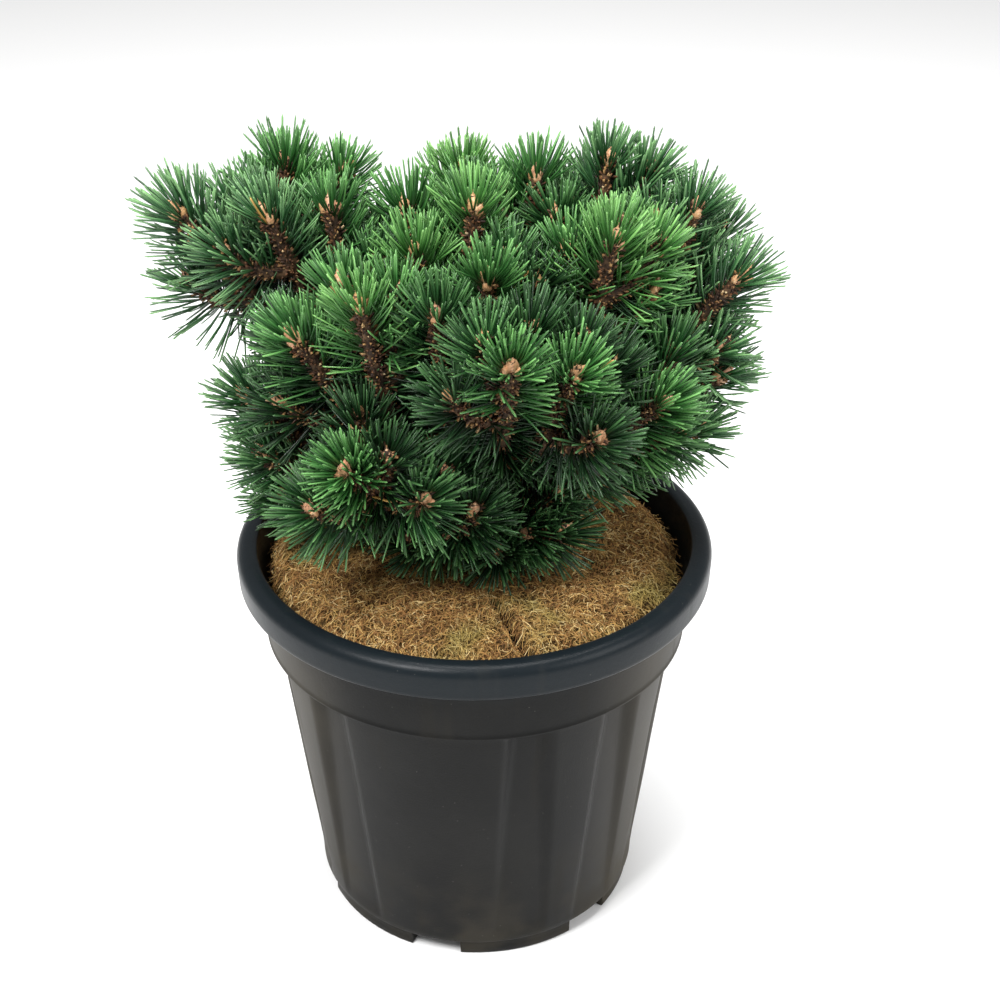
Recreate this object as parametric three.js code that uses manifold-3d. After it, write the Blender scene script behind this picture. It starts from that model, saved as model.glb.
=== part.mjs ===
// A dwarf mountain pine in a fluted nursery pot, as a three.js scene graph. Millimetres, +Z up.
// The origin is the middle of the pot's flat underside, on the ground. -Y is the plant's show side.
//
// The crown is grown by one rule. LIMBS names each leading shoot by the place of its bud and the way it
// leans. A tapering bough carries it from the trunk or from another bough, and shorter side shoots ring its
// foot wherever there is room for them. Each leader, its side shoots and their needles are one mass.
import * as THREE from "three";
import { mergeVertices } from "three/addons/utils/BufferGeometryUtils.js";
import Module from "manifold-3d";

const wasm = await Module();
wasm.setup();

// ---- Driving dimensions -------------------------------------------------------------------------

const CLEAR = 0.3; // gap between solids that meet

const POT = {
  height: 276,
  rimRadius: 158, // widest part of the rim
  mouthRadius: 144.5, // inner edge of the rim
  rimDrop: 22.5, // height of the rim
  rimShoulder: 8, // how far down its outer edge is rounded
  collarTop: 142.5,
  collarFoot: 141.5,
  collarFootHeight: 212,
  bodyTop: 136,
  bodyFoot: 113,
  bodyFootHeight: 13,
  footRadius: 110.5,
  wall: 2.2,
  floor: 3,
  segments: 60,
};
const FLUTE = {
  places: 12, // evenly round the pot, first one this far from the front
  firstDeg: 15.5,
  bare: [5, 11], // the places left smooth, for labels
  depthTop: 7,
  depthFoot: 1.5,
  floorDeg: 3.6,
};
const DRAIN = {
  count: 6,
  firstDeg: -14.5,
  width: 35,
  height: 12,
  inner: 42, // where the channels start, from the pot's axis
  roof: 2.5,
  hole: 7,
  holeSides: 8,
};
const BALL = {
  top: 264,
  crown: 3, // how far the middle of its top rises
  crownRadius: 60,
  topRadius: 136,
  shoulder: [4, 2.5], // across and down
  shoulderFoot: 7,
  waist: 119,
  waistRise: [2, 16], // over the collar's foot, from the waist up to the full width
  foot: 95,
  shift: [0, -2],
  segments: 28,
};

const TRUNK = {
  foot: [6, 12],
  bend: [-4, 16],
  tip: [4, 14],
  tipHeight: 392,
  footRadius: 25, // over the root flare
  buttRadius: 15,
  tipRadius: 7,
  flareHeight: 20,
  sunk: 8, // how far the leaning limb is drawn below its flat cut
  sides: 10,
  sections: 9,
};

const BOUGH = {
  rootRadius: 7.5,
  thinner: 1.5, // a bough that another bough carries
  tipRadius: 5,
  sides: 5,
  sections: 4,
  rise: 0.35, // how steeply it leaves its carrier
  handle: 0.35, // how much of its reach each end keeps its direction
};
// The dome that the buds keep inside, drawn in to its waist at the pot's rim.
const CROWN = { middle: [-5, 0, 270], radii: [190, 165, 268], power: 4, waist: 0.56, waistTop: 440 };
const SHOOT = {
  length: 80,
  stem: 24,
  sessilePart: 0.85, // how much of its length is needled where it starts at the trunk
  coreRadius: 4,
  tipRadius: 2.8,
  budRadius: 4,
  budLength: 13,
  budWaist: 0.55, // where the bud is widest, from its tip
  bands: 6,
};
const SIDE_SHOOT = {
  length: 68,
  lengthRange: [0.86, 1.14],
  start: [-4.2, 9.8], // how far about the leader's foot they stand
  spreads: [48, 62, 36, 74], // from the leader's line, in turn
  spreadRange: [-4, 4],
  turnStep: 137.5,
  tries: 14,
  most: 4, // on one leader
  curl: 0.55, // how much of the leader's line a side shoot takes up
  lift: 0.4,
  tipMargin: 30, // least height of a bud over the soil and the rim
  room: 38, // between buds
  lineRoom: 0.7, // of that, between a bud and any shoot
  barePart: 0.2,
  bulk: 0.85,
};
// Each place is weathered from outside the crown's heart and from above. No side shoot stands on that side.
const WEATHER = { heart: [0, 90], across: 0.35, up: 0.5, limit: 0.35 };
const NEEDLE = {
  length: 42,
  shorter: [1, 0.82, 0.64, 0.48], // where there is less room
  tested: [0.3, 0.65, 1], // how far along a needle its room is looked at
  width: 6,
  splay: 54,
  tipSplay: 28,
  splayRange: [-2.5, 2.5],
  barePart: 0.12,
  ringTurn: 1.25,
};

// Bud of each leading shoot, the way it leans (bearing from +X towards +Y, tilt from upright), what carries
// it and how far along, and the turn of its first side shoot.
const LIMBS = {
  upper_left: { bud: [-126, -8, 510], lean: [200, 22], from: "trunk", share: 0.6, turn: 190 },
  upper_left_outer: { bud: [-182, 0, 508], lean: [180, 38], from: "upper_left", share: 0.87, turn: 200 },
  upper_left_inner: { bud: [-86, 2, 511], lean: [160, 8], from: "upper_left", share: 0.76, turn: 60 },
  upper_left_rear: { bud: [-118, 48, 523], lean: [120, 10], from: "upper_left", share: 0.64, turn: 40 },
  left_low: { bud: [-146, -30, 399], lean: [195, 42], from: "trunk", share: 0.52, turn: 100 },
  left_foot: { bud: [-134, -16, 318], lean: [185, 68], from: "trunk", share: 0.1, turn: 0 },
  front_left: { bud: [-65, -78, 482], lean: [235, 17], from: "trunk", share: 0.38, turn: 20 },
  front_left_outer: { bud: [-108, -66, 456], lean: [208, 32], from: "front_left", share: 0.75, turn: 180 },
  front_left_low: { bud: [-76, -108, 386], lean: [248, 48], from: "trunk", share: 0.27, turn: 100 },
  front_middle: { bud: [-20, -80, 476], lean: [262, 20], from: "front_left", share: 0.83, turn: 300 },
  front_centre: { bud: [24, -118, 460], lean: [275, 36], from: "trunk", share: 0.46, turn: 40 },
  front_right: { bud: [62, -102, 448], lean: [292, 36], from: "front_centre", share: 0.5, turn: 300 },
  front_foot: { bud: [-16, -64, 312], lean: [265, 72], from: "trunk", share: 0.2, turn: 90 },
  front_foot_right: { bud: [36, -48, 302], lean: [300, 74], from: "trunk", share: 0.14, turn: 90 },
  right_centre: { bud: [86, -30, 503], lean: [330, 13], from: "trunk", share: 0.57, turn: 330 },
  right_outer: { bud: [170, 0, 466], lean: [358, 40], from: "trunk", share: 0.72, turn: 190 },
  upper_right: { bud: [141, 24, 503], lean: [12, 22], from: "right_outer", share: 0.88, turn: 160 },
  right_low: { bud: [164, 4, 395], lean: [4, 58], from: "right_outer", share: 0.4, turn: 60 },
  right_front_low: { bud: [120, -62, 408], lean: [318, 46], from: "trunk", share: 0.4, turn: 60 },
  right_foot: { bud: [106, -30, 350], lean: [345, 66], from: "trunk", share: 0.25, turn: 300 },
  top_centre: { bud: [1, -10, 516], lean: [270, 6], from: "trunk", share: 0.94, turn: 260 },
  top_front: { bud: [10, -56, 488], lean: [272, 22], from: "trunk", share: 0.7, turn: 20 },
  top_left: { bud: [-34, -34, 497], lean: [230, 12], from: "trunk", share: 0.82, turn: 200 },
  top_rear: { bud: [40, 34, 520], lean: [60, 10], from: "trunk", share: 0.74, turn: 120 },
  top_left_outer: { bud: [-42, 10, 507], lean: [200, 14], from: "upper_left", share: 0.45, turn: 240 },
  top_right: { bud: [86, 42, 527], lean: [40, 14], from: "trunk", share: 0.14, turn: 300 },
  rear_left: { bud: [-112, 98, 452], lean: [140, 38], from: "trunk", share: 0.28, turn: 30 },
  rear_low: { bud: [-52, 132, 378], lean: [112, 58], from: "trunk", share: 0.42, turn: 60 },
  rear: { bud: [-18, 118, 487], lean: [96, 32], from: "trunk", share: 0.65, turn: 90 },
  rear_right: { bud: [84, 112, 462], lean: [52, 38], from: "trunk", share: 0.51, turn: 200 },
  rear_right_low: { bud: [108, 86, 366], lean: [36, 62], from: "trunk", share: 0.31, turn: 150 },
};
const SHORT = { front_foot: 52, front_foot_right: 50, right_foot: 68 }; // leading shoots of another length
// Masses whose stems meet the trunk itself.
const SESSILE = ["top_centre", "top_front", "top_left", "top_rear", "front_foot", "front_foot_right"];

// ---- Small tools --------------------------------------------------------------------------------

const UP = new THREE.Vector3(0, 0, 1);
const radians = THREE.MathUtils.degToRad;
const vec = (x, y, z) => new THREE.Vector3(x, y, z);

// A steady number from low to high for each n, so that the crown grows the same way each time.
function chance(n, [low, high]) {
  const s = Math.sin(n * 12.9898 + 4.1414) * 43758.5453;
  return low + (high - low) * (s - Math.floor(s));
}

// Unit vector that leans from upright by tilt towards a bearing.
function leaning(bearing, tilt) {
  const b = radians(bearing);
  const t = radians(tilt);
  return vec(Math.cos(b) * Math.sin(t), Math.sin(b) * Math.sin(t), Math.cos(t));
}

// Unit vector that stands off an axis by an angle towards another direction square to it.
function between(axis, out, angle) {
  return axis.clone().multiplyScalar(Math.cos(angle)).addScaledVector(out, Math.sin(angle));
}

// Two unit vectors square to an axis and to each other.
function sidesOf(axis) {
  const level = Math.abs(axis.z) > 0.95 ? vec(1, 0, 0) : UP;
  const u = vec().crossVectors(level, axis).normalize();
  return [u, vec().crossVectors(axis, u)];
}

function solidOf(geometry) {
  const bare = new THREE.BufferGeometry().setAttribute("position", geometry.getAttribute("position"));
  if (geometry.index) bare.setIndex(geometry.index);
  const merged = mergeVertices(bare, 1e-3);
  return new wasm.Manifold(
    new wasm.Mesh({
      numProp: 3,
      vertProperties: new Float32Array(merged.getAttribute("position").array),
      triVerts: new Uint32Array(merged.index.array),
    }),
  );
}

function geometryOf(solid) {
  const mesh = solid.getMesh();
  const geometry = new THREE.BufferGeometry();
  geometry.setAttribute("position", new THREE.BufferAttribute(mesh.vertProperties, mesh.numProp));
  geometry.setIndex(new THREE.BufferAttribute(mesh.triVerts, 1));
  return geometry;
}

// A closed limb along a curve: a cylinder whose rings are carried to the curve, with radiusAt(share, angle).
function limbSolid(curve, radiusAt, sides, sections) {
  const geometry = new THREE.CylinderGeometry(1, 1, 1, sides, sections);
  const position = geometry.getAttribute("position");
  const frames = [];
  let u = sidesOf(curve.getTangent(0))[0];
  for (let i = 0; i <= sections; i++) {
    const t = i / sections;
    const along = curve.getTangent(t);
    u = u.clone().addScaledVector(along, -u.dot(along)).normalize();
    frames.push({ centre: curve.getPoint(t), u, v: vec().crossVectors(along, u) });
  }
  for (let i = 0; i < position.count; i++) {
    const t = position.getY(i) + 0.5;
    const frame = frames[Math.round(t * sections)];
    const across = Math.hypot(position.getX(i), position.getZ(i));
    const angle = Math.atan2(position.getX(i), position.getZ(i));
    const radius = across < 0.5 ? 0 : radiusAt(t, angle);
    const at = frame.centre.clone();
    at.addScaledVector(frame.u, radius * Math.cos(angle));
    at.addScaledVector(frame.v, radius * Math.sin(angle));
    position.setXYZ(i, at.x, at.y, at.z);
  }
  return solidOf(geometry);
}

const taper = (from, to) => (t) => from + (to - from) * t;
const largestBody = (solid) => solid.decompose().reduce((a, b) => (b.volume() > a.volume() ? b : a));

// ---- Pot ----------------------------------------------------------------------------------------

// Angle round the pot from its front, with +X to the right.
const potDirection = (deg) => vec(Math.sin(radians(deg)), -Math.cos(radians(deg)), 0);

// How deep the flutes press the body in, at an angle and a height.
function fluteDepth(deg, z) {
  const { bodyFootHeight: low, collarFootHeight: high } = POT;
  if (z <= low || z >= high) return 0;
  const step = 360 / FLUTE.places;
  const place = Math.round((deg - FLUTE.firstDeg) / step);
  const index = ((place % FLUTE.places) + FLUTE.places) % FLUTE.places;
  const off = Math.abs(deg - FLUTE.firstDeg - place * step);
  if (off > FLUTE.floorDeg || FLUTE.bare.includes(index)) return 0;
  return THREE.MathUtils.mapLinear(z, low, high, FLUTE.depthFoot, FLUTE.depthTop);
}

function potProfile() {
  const rimFoot = POT.height - POT.rimDrop;
  const bodySlope = (POT.bodyTop - POT.bodyFoot) / (POT.collarFootHeight - POT.bodyFootHeight);
  const bodyAt = (z) => POT.bodyFoot + bodySlope * (z - POT.bodyFootHeight);
  const underCollar = POT.collarFootHeight - 1.5;
  const outside = [
    [0, 0],
    [POT.footRadius - 3, 0],
    [POT.footRadius, 3],
    [POT.footRadius, POT.bodyFootHeight - 3],
    [POT.bodyFoot, POT.bodyFootHeight],
    [bodyAt(underCollar), underCollar],
    [POT.collarFoot, POT.collarFootHeight],
    [POT.collarTop, rimFoot],
    [POT.rimRadius - 1.5, rimFoot],
    [POT.rimRadius, rimFoot + 2],
    [POT.rimRadius, POT.height - POT.rimShoulder],
    [POT.rimRadius - 2.3, POT.height - POT.rimShoulder * 0.3],
    [POT.rimRadius - POT.rimShoulder, POT.height],
    [POT.mouthRadius + 2, POT.height],
    [POT.mouthRadius, POT.height - 1.5],
  ];
  const w = POT.wall;
  const inside = [
    [POT.mouthRadius - 0.5, POT.height - POT.rimShoulder],
    [POT.collarTop - w, rimFoot + w],
    [POT.collarFoot - w, POT.collarFootHeight + 1],
    [bodyAt(underCollar) - w, underCollar - w],
    [POT.bodyFoot - w, POT.bodyFootHeight + 3],
    [POT.footRadius - w, POT.floor],
    [0, POT.floor],
  ];
  return [...outside, ...inside].map(([r, z]) => new THREE.Vector2(r, z));
}

// A drain channel's box in the floor, its middle line along an angle.
function drainBox(deg, margin, from, to) {
  const height = DRAIN.height + margin;
  const box = new THREE.BoxGeometry(to - from, DRAIN.width + 2 * margin, height + 1);
  box.translate((from + to) / 2, 0, (height + 1) / 2 - 1);
  box.rotateZ(radians(deg - 90));
  return solidOf(box);
}

function potSolid() {
  const geometry = new THREE.LatheGeometry(potProfile(), POT.segments);
  geometry.rotateX(Math.PI / 2);
  const position = geometry.getAttribute("position");
  for (let i = 0; i < position.count; i++) {
    const [x, y, z] = [position.getX(i), position.getY(i), position.getZ(i)];
    const across = Math.hypot(x, y);
    if (across < POT.bodyFoot - POT.wall - 1) continue;
    const deg = THREE.MathUtils.radToDeg(Math.atan2(x, -y));
    const share = (across - fluteDepth(deg, z)) / across;
    position.setXYZ(i, x * share, y * share, z);
  }
  let pot = solidOf(geometry);
  const inside = POT.footRadius - POT.wall / 2;
  const within = new THREE.CylinderGeometry(inside, inside, POT.height, POT.segments).rotateX(Math.PI / 2);
  within.translate(0, 0, (POT.height + POT.floor) / 2);
  for (let i = 0; i < DRAIN.count; i++) {
    const deg = DRAIN.firstDeg + (i * 360) / DRAIN.count;
    const roof = drainBox(deg, DRAIN.roof, DRAIN.inner - DRAIN.roof, POT.footRadius);
    pot = pot.add(roof.intersect(solidOf(within)));
    pot = pot.subtract(drainBox(deg, 0, DRAIN.inner, POT.rimRadius));
    const hole = new THREE.CylinderGeometry(DRAIN.hole, DRAIN.hole, 4 * DRAIN.height, DRAIN.holeSides);
    const middle = potDirection(deg).multiplyScalar((DRAIN.inner + POT.footRadius) / 2);
    hole.rotateX(Math.PI / 2).translate(middle.x, middle.y, 0);
    pot = pot.subtract(solidOf(hole));
  }
  return pot;
}

function rootBallSolid() {
  const floor = DRAIN.height + DRAIN.roof + CLEAR;
  const profile = [
    [0, floor],
    [BALL.foot, floor],
    [BALL.waist, POT.collarFootHeight + BALL.waistRise[0]],
    [BALL.topRadius, POT.collarFootHeight + BALL.waistRise[1]],
    [BALL.topRadius, BALL.top - BALL.shoulderFoot],
    [BALL.topRadius - BALL.shoulder[0], BALL.top - BALL.shoulder[1]],
    [BALL.topRadius - 3 * BALL.shoulder[0], BALL.top],
    [BALL.crownRadius, BALL.top + BALL.crown],
    [0, BALL.top + BALL.crown],
  ].map(([r, z]) => new THREE.Vector2(r, z));
  const geometry = new THREE.LatheGeometry(profile, BALL.segments);
  geometry.rotateX(Math.PI / 2);
  geometry.translate(BALL.shift[0], BALL.shift[1], 0);
  return solidOf(geometry);
}

// ---- Trunk and boughs ---------------------------------------------------------------------------

const GROUND = BALL.top + BALL.crown + CLEAR; // the trunk's flat cut
const trunkCurve = new THREE.QuadraticBezierCurve3(
  vec(...TRUNK.foot, GROUND - TRUNK.sunk),
  vec(...TRUNK.bend, (GROUND + TRUNK.tipHeight) / 2),
  vec(...TRUNK.tip, TRUNK.tipHeight),
);

// The trunk's radius: a root flare with five lobes that fades into an even taper.
function trunkRadius(t, angle) {
  const rise = Math.max(0, t * (TRUNK.tipHeight - GROUND) - TRUNK.sunk);
  const flare = Math.max(0, 1 - rise / TRUNK.flareHeight) ** 2;
  const lobes = 0.75 + 0.25 * Math.cos(5 * angle);
  return taper(TRUNK.buttRadius, TRUNK.tipRadius)(t) + (TRUNK.footRadius - TRUNK.buttRadius) * flare * lobes;
}

function trunkSolid(extra) {
  const radius = (t, angle) => trunkRadius(t, angle) + extra;
  const limb = limbSolid(trunkCurve, radius, TRUNK.sides, TRUNK.sections);
  const size = 4 * TRUNK.footRadius;
  const below = new THREE.BoxGeometry(size, size, size).translate(...TRUNK.foot, GROUND - size / 2);
  return limb.subtract(solidOf(below));
}

const lengthOf = (name) => SHORT[name] ?? SHOOT.length;

// Where a limb's bough ends and its stem begins, and the straight line of its leading shoot.
function leaderOf(name) {
  const tip = vec(...LIMBS[name].bud);
  const along = leaning(...LIMBS[name].lean);
  const foot = tip.clone().addScaledVector(along, -lengthOf(name));
  const joint = foot.clone().addScaledVector(along, -SHOOT.stem);
  return { name, tip, along, foot, joint };
}

const leaders = Object.keys(LIMBS).map(leaderOf);
const boughCurves = { trunk: trunkCurve };

// A bough leaves its parent outwards and a little up, and ends along the line of the shoot that it carries.
function boughCurve(leader) {
  const { from, share } = LIMBS[leader.name];
  const parent = boughCurves[from];
  const root = parent.getPoint(share);
  const reach = leader.joint.clone().sub(root);
  const level = vec(reach.x, reach.y, 0);
  const out = level.clone().setZ(level.length() * BOUGH.rise).normalize();
  const handle = reach.length() * BOUGH.handle;
  return new THREE.CubicBezierCurve3(
    root,
    root.clone().addScaledVector(out, handle),
    leader.joint.clone().addScaledVector(leader.along, -handle),
    leader.joint,
  );
}

for (const leader of leaders) {
  if (!SESSILE.includes(leader.name)) boughCurves[leader.name] = boughCurve(leader);
}

// A bough's radius falls from its root to its tip; one that another bough carries starts thinner.
function boughRadius(name) {
  const root = BOUGH.rootRadius - (LIMBS[name].from === "trunk" ? 0 : BOUGH.thinner);
  return taper(root, BOUGH.tipRadius);
}

function boughSolid(name, extra) {
  const radius = boughRadius(name);
  return limbSolid(boughCurves[name], (t) => radius(t) + extra, BOUGH.sides, BOUGH.sections);
}

// ---- Shoots -------------------------------------------------------------------------------------

// A shoot: its middle line, the share of it that is bare, and points along it that other pieces keep off.
function shootOf(name, curve, bare, bulk) {
  return { name, curve, bare, bulk, points: curve.getPoints(5) };
}

// The leading shoot of a limb runs on from its bough, or from the trunk itself.
function leadingShoot(leader) {
  const span = lengthOf(leader.name);
  if (SESSILE.includes(leader.name)) {
    const curve = boughCurve({ ...leader, joint: leader.tip });
    return shootOf(leader.name, curve, 1 - (SHOOT.sessilePart * span) / curve.getLength(), 1);
  }
  const start = leader.joint.clone().addScaledVector(leader.along, CLEAR);
  const bare = (SHOOT.stem + NEEDLE.barePart * span) / (SHOOT.stem + span);
  return shootOf(leader.name, new THREE.LineCurve3(start, leader.tip), bare, 1);
}

// The way that a place is weathered from: away from the heart, less to the sides, and a little up.
function weatherAt(point) {
  const [x, y] = WEATHER.heart;
  const level = vec((point.x - x) * WEATHER.across, point.y - y, 0).normalize();
  return level.addScaledVector(UP, WEATHER.up).normalize();
}

// A side shoot leaves the leader's foot at a spread from its line and curls towards it and upwards. There is
// none on the weathered side.
function sideShoot(leader, index) {
  const seed = leaders.indexOf(leader) * SIDE_SHOOT.tries + index;
  const turn = radians(LIMBS[leader.name].turn + index * SIDE_SHOOT.turnStep);
  const out = between(...sidesOf(leader.along), turn);
  const start = leader.foot.clone().addScaledVector(leader.along, chance(seed + 0.3, SIDE_SHOOT.start));
  if (out.dot(weatherAt(start)) > WEATHER.limit) return null;
  const spread = SIDE_SHOOT.spreads[index % SIDE_SHOOT.spreads.length] + chance(seed, SIDE_SHOOT.spreadRange);
  const first = between(leader.along, out, radians(spread));
  const last = first.clone().lerp(leader.along, SIDE_SHOOT.curl).lerp(UP, SIDE_SHOOT.lift).normalize();
  const length = SIDE_SHOOT.length * chance(seed + 0.7, SIDE_SHOOT.lengthRange);
  const middle = start.clone().addScaledVector(first, length / 2);
  const tip = middle.clone().addScaledVector(last, length / 2);
  const curve = new THREE.QuadraticBezierCurve3(start, middle, tip);
  return shootOf(leader.name, curve, SIDE_SHOOT.barePart, SIDE_SHOOT.bulk);
}

function lineDistance(point, points) {
  let least = Infinity;
  const nearest = vec();
  for (let i = 1; i < points.length; i++) {
    const line = new THREE.Line3(points[i - 1], points[i]);
    least = Math.min(least, line.closestPointToPoint(point, true, nearest).distanceTo(point));
  }
  return least;
}

const linesDistance = (a, b) => Math.min(...a.map((point) => lineDistance(point, b)));

// Keeps a tip or a needle above the soil and clear of the pot's rim.
function overPot(point, margin) {
  const across = Math.hypot(point.x, point.y);
  if (across > POT.rimRadius + margin) return true;
  return point.z > (across > BALL.topRadius ? POT.height : BALL.top + BALL.crown) + margin;
}

// How far out a point lies in the crown's dome, where 1 is its skin.
function crownShare(point) {
  const offset = point.clone().sub(vec(...CROWN.middle)).divide(vec(...CROWN.radii));
  const rise = (point.z - POT.height) / (CROWN.waistTop - POT.height);
  const width = Math.min(1, CROWN.waist + (1 - CROWN.waist) * rise);
  offset.set(offset.x / width, offset.y / width, offset.z);
  return offset.toArray().reduce((sum, v) => sum + Math.abs(v) ** CROWN.power, 0) ** (1 / CROWN.power);
}

const limbLines = Object.entries(boughCurves).map(([name, curve]) => ({
  name,
  points: curve.getPoints(12),
  radius: name === "trunk" ? TRUNK.buttRadius + 2 : boughRadius(name)(0) + 0.5,
}));

// Limbs that a shoot of one mass has to keep off: all but its own bough.
const otherLimbs = (name) => limbLines.filter((limb) => limb.name !== name);

// True where a side shoot's bud has room in the crown and its core touches no limb and no other mass.
function hasRoom(shoot, grown) {
  const tip = shoot.points.at(-1);
  if (crownShare(tip) > 1 || !overPot(tip, SIDE_SHOOT.tipMargin)) return false;
  const clearOfLimbs = otherLimbs(shoot.name).every(
    (limb) => linesDistance(shoot.points, limb.points) > limb.radius + SHOOT.coreRadius + 1,
  );
  if (!clearOfLimbs) return false;
  return grown.every((s) => {
    if (tip.distanceTo(s.points.at(-1)) < SIDE_SHOOT.room) return false;
    if (lineDistance(tip, s.points) < SIDE_SHOOT.room * SIDE_SHOOT.lineRoom) return false;
    return s.name === shoot.name || linesDistance(s.points, shoot.points) > 2 * SHOOT.coreRadius + 2 * CLEAR;
  });
}

// Every shoot of the crown: each leader first, then the side shoots that find room, in turns round the limbs.
function growShoots() {
  const grown = leaders.map(leadingShoot);
  for (let index = 0; index < SIDE_SHOOT.tries; index++)
    for (const leader of leaders) {
      const shoot = sideShoot(leader, index);
      const own = grown.filter((s) => s.name === leader.name).length;
      if (shoot && own <= SIDE_SHOOT.most && hasRoom(shoot, grown)) grown.push(shoot);
    }
  return grown;
}

const shoots = growShoots();

// ---- Needles and masses of foliage --------------------------------------------------------------

// True where a point of a needle is nearer to its own shoot than to any other, and clear of limbs, pot and
// soil. A needle keeps further off the shoots of other masses.
function inOwnSpace(point, shoot, width) {
  const own = lineDistance(point, shoot.points);
  const ownSpace = shoot.near.every((s) => {
    const gap = width * (s.name === shoot.name ? 0.5 : 2) + 2 * CLEAR;
    return lineDistance(point, s.points) - own >= gap;
  });
  const clearOfLimbs = shoot.limbs.every((limb) => lineDistance(point, limb.points) >= limb.radius + width);
  return ownSpace && clearOfLimbs && overPot(point, width);
}

// The tip of the needle on a face of the core, shortened where it has little room, or null where it has none.
function needleTip(root, along, shoot) {
  for (const share of NEEDLE.shorter) {
    const length = NEEDLE.length * share;
    const fits = NEEDLE.tested.every((reach) => {
      const point = root.clone().addScaledVector(along, length * reach);
      return inOwnSpace(point, shoot, NEEDLE.width * (1.1 - reach));
    });
    if (fits) return root.clone().addScaledVector(along, length);
  }
  return null;
}

// A shoot is one closed skin. Rings of three points climb its core, each turned on from the one below, and
// the small faces between them are drawn out into needles. The last ring is the bud.
function shootSolid(shoot, seed) {
  const { curve, bare, bulk } = shoot;
  const budFrom = 1 - SHOOT.budLength / curve.getLength();
  const shares = [0];
  for (let k = 0; k <= SHOOT.bands; k++) shares.push(bare + ((budFrom - bare) * k) / SHOOT.bands);
  shares.push(1 - (1 - budFrom) * SHOOT.budWaist);
  const [hint] = sidesOf(curve.getPointAt(1).sub(curve.getPointAt(0)).normalize());
  const rings = shares.map((share, k) => {
    const centre = curve.getPointAt(share);
    const along = curve.getTangentAt(share);
    const u = hint.clone().addScaledVector(along, -hint.dot(along)).normalize();
    const v = vec().crossVectors(along, u);
    const core = bulk * taper(SHOOT.coreRadius, SHOOT.tipRadius)(share);
    const radius = k === shares.length - 1 ? SHOOT.budRadius : core;
    const corners = [0, 1, 2].map((side) => {
      const turn = seed + k * NEEDLE.ringTurn + (side * 2 * Math.PI) / 3;
      return centre.clone().addScaledVector(between(u, v, turn), radius);
    });
    return { centre, along, corners };
  });
  const corners = [];
  function face(a, b, c) {
    corners.push(a, b, c);
  }
  function needleFace(a, b, c, ring, k) {
    const middle = a.clone().add(b).add(c).divideScalar(3);
    const out = middle.clone().sub(ring.centre);
    out.addScaledVector(ring.along, -out.dot(ring.along)).normalize();
    const splay = taper(NEEDLE.splay, NEEDLE.tipSplay)(k / SHOOT.bands);
    const turned = radians(splay + chance(seed + 31 * k, NEEDLE.splayRange));
    const tip = needleTip(middle, between(ring.along, out, turned), shoot);
    if (!tip) return face(a, b, c);
    face(a, b, tip);
    face(b, c, tip);
    face(c, a, tip);
  }
  const last = rings.length - 1;
  for (let side = 0; side < 3; side++) {
    const next = (side + 1) % 3;
    face(rings[0].corners[next], rings[0].corners[side], curve.getPointAt(0));
    face(rings[last].corners[side], rings[last].corners[next], curve.getPointAt(1));
    for (let k = 0; k < last; k++) {
      const [low, high] = [rings[k], rings[k + 1]];
      const make = k > 0 && k < last - 1 ? needleFace : face;
      make(low.corners[side], low.corners[next], high.corners[side], low, k);
      make(high.corners[side], low.corners[next], high.corners[next], high, k + 0.5);
    }
  }
  const skin = new THREE.BufferGeometry().setFromPoints(corners);
  return solidOf(skin);
}

function massSolid(name, trunk) {
  const own = shoots.filter((s) => s.name === name);
  const mass = wasm.Manifold.union(own.map((s) => shootSolid(s, shoots.indexOf(s))));
  return largestBody(SESSILE.includes(name) ? mass.subtract(trunk) : mass);
}

for (const shoot of shoots) {
  shoot.limbs = otherLimbs(shoot.name);
  shoot.near = shoots.filter((s) => s !== shoot && linesDistance(s.points, shoot.points) < 2 * NEEDLE.length);
}

// ---- The plant as named meshes ------------------------------------------------------------------

const MATERIALS = {
  plastic: new THREE.MeshStandardMaterial({ color: 0x2a2c2e, roughness: 0.45, metalness: 0 }),
  coir: new THREE.MeshStandardMaterial({ color: 0x7d5e36, roughness: 0.95, metalness: 0 }),
  bark: new THREE.MeshStandardMaterial({ color: 0x4a3a2c, roughness: 0.9, metalness: 0 }),
  needles: new THREE.MeshStandardMaterial({ color: 0x2f6b3c, roughness: 0.55, metalness: 0 }),
};

const plant = new THREE.Group();

function addPiece(name, solid, material) {
  const mesh = new THREE.Mesh(geometryOf(solid), material);
  mesh.name = name;
  plant.add(mesh);
}

addPiece("pot", potSolid(), MATERIALS.plastic);
addPiece("root_ball", rootBallSolid(), MATERIALS.coir);
addPiece("trunk", trunkSolid(0), MATERIALS.bark);

const swollen = { trunk: trunkSolid(CLEAR) };
for (const { name } of leaders) {
  if (SESSILE.includes(name)) continue;
  const bough = largestBody(boughSolid(name, 0).subtract(swollen[LIMBS[name].from]));
  addPiece(`bough_${name}`, bough, MATERIALS.bark);
  swollen[name] = boughSolid(name, CLEAR);
}
for (const { name } of leaders) {
  addPiece(`foliage_${name}`, massSolid(name, swollen.trunk), MATERIALS.needles);
}

export default plant;
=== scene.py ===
"""A dwarf mountain pine in a fluted nursery pot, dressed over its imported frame.

The crown grows by the same rule as the frame's masses. LIMBS names each leading shoot by the place of
its bud and the way it leans, a tapering bough carries it, and side shoots ring its foot wherever they
find room. Here the rule goes on to finer shoots, and every shoot gets its scaly bark, its buds and its
paired needles.

Places and sizes are millimetres, with the plant's show side towards -Y. They turn into metres where a
mesh is made. Finishes, lamps and the camera read and give places in metres.
"""

import logging
import math
from dataclasses import dataclass, field
from enum import Enum
from typing import Any, Callable, Dict, Iterator, List, Sequence, Set, Tuple, Union

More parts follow.
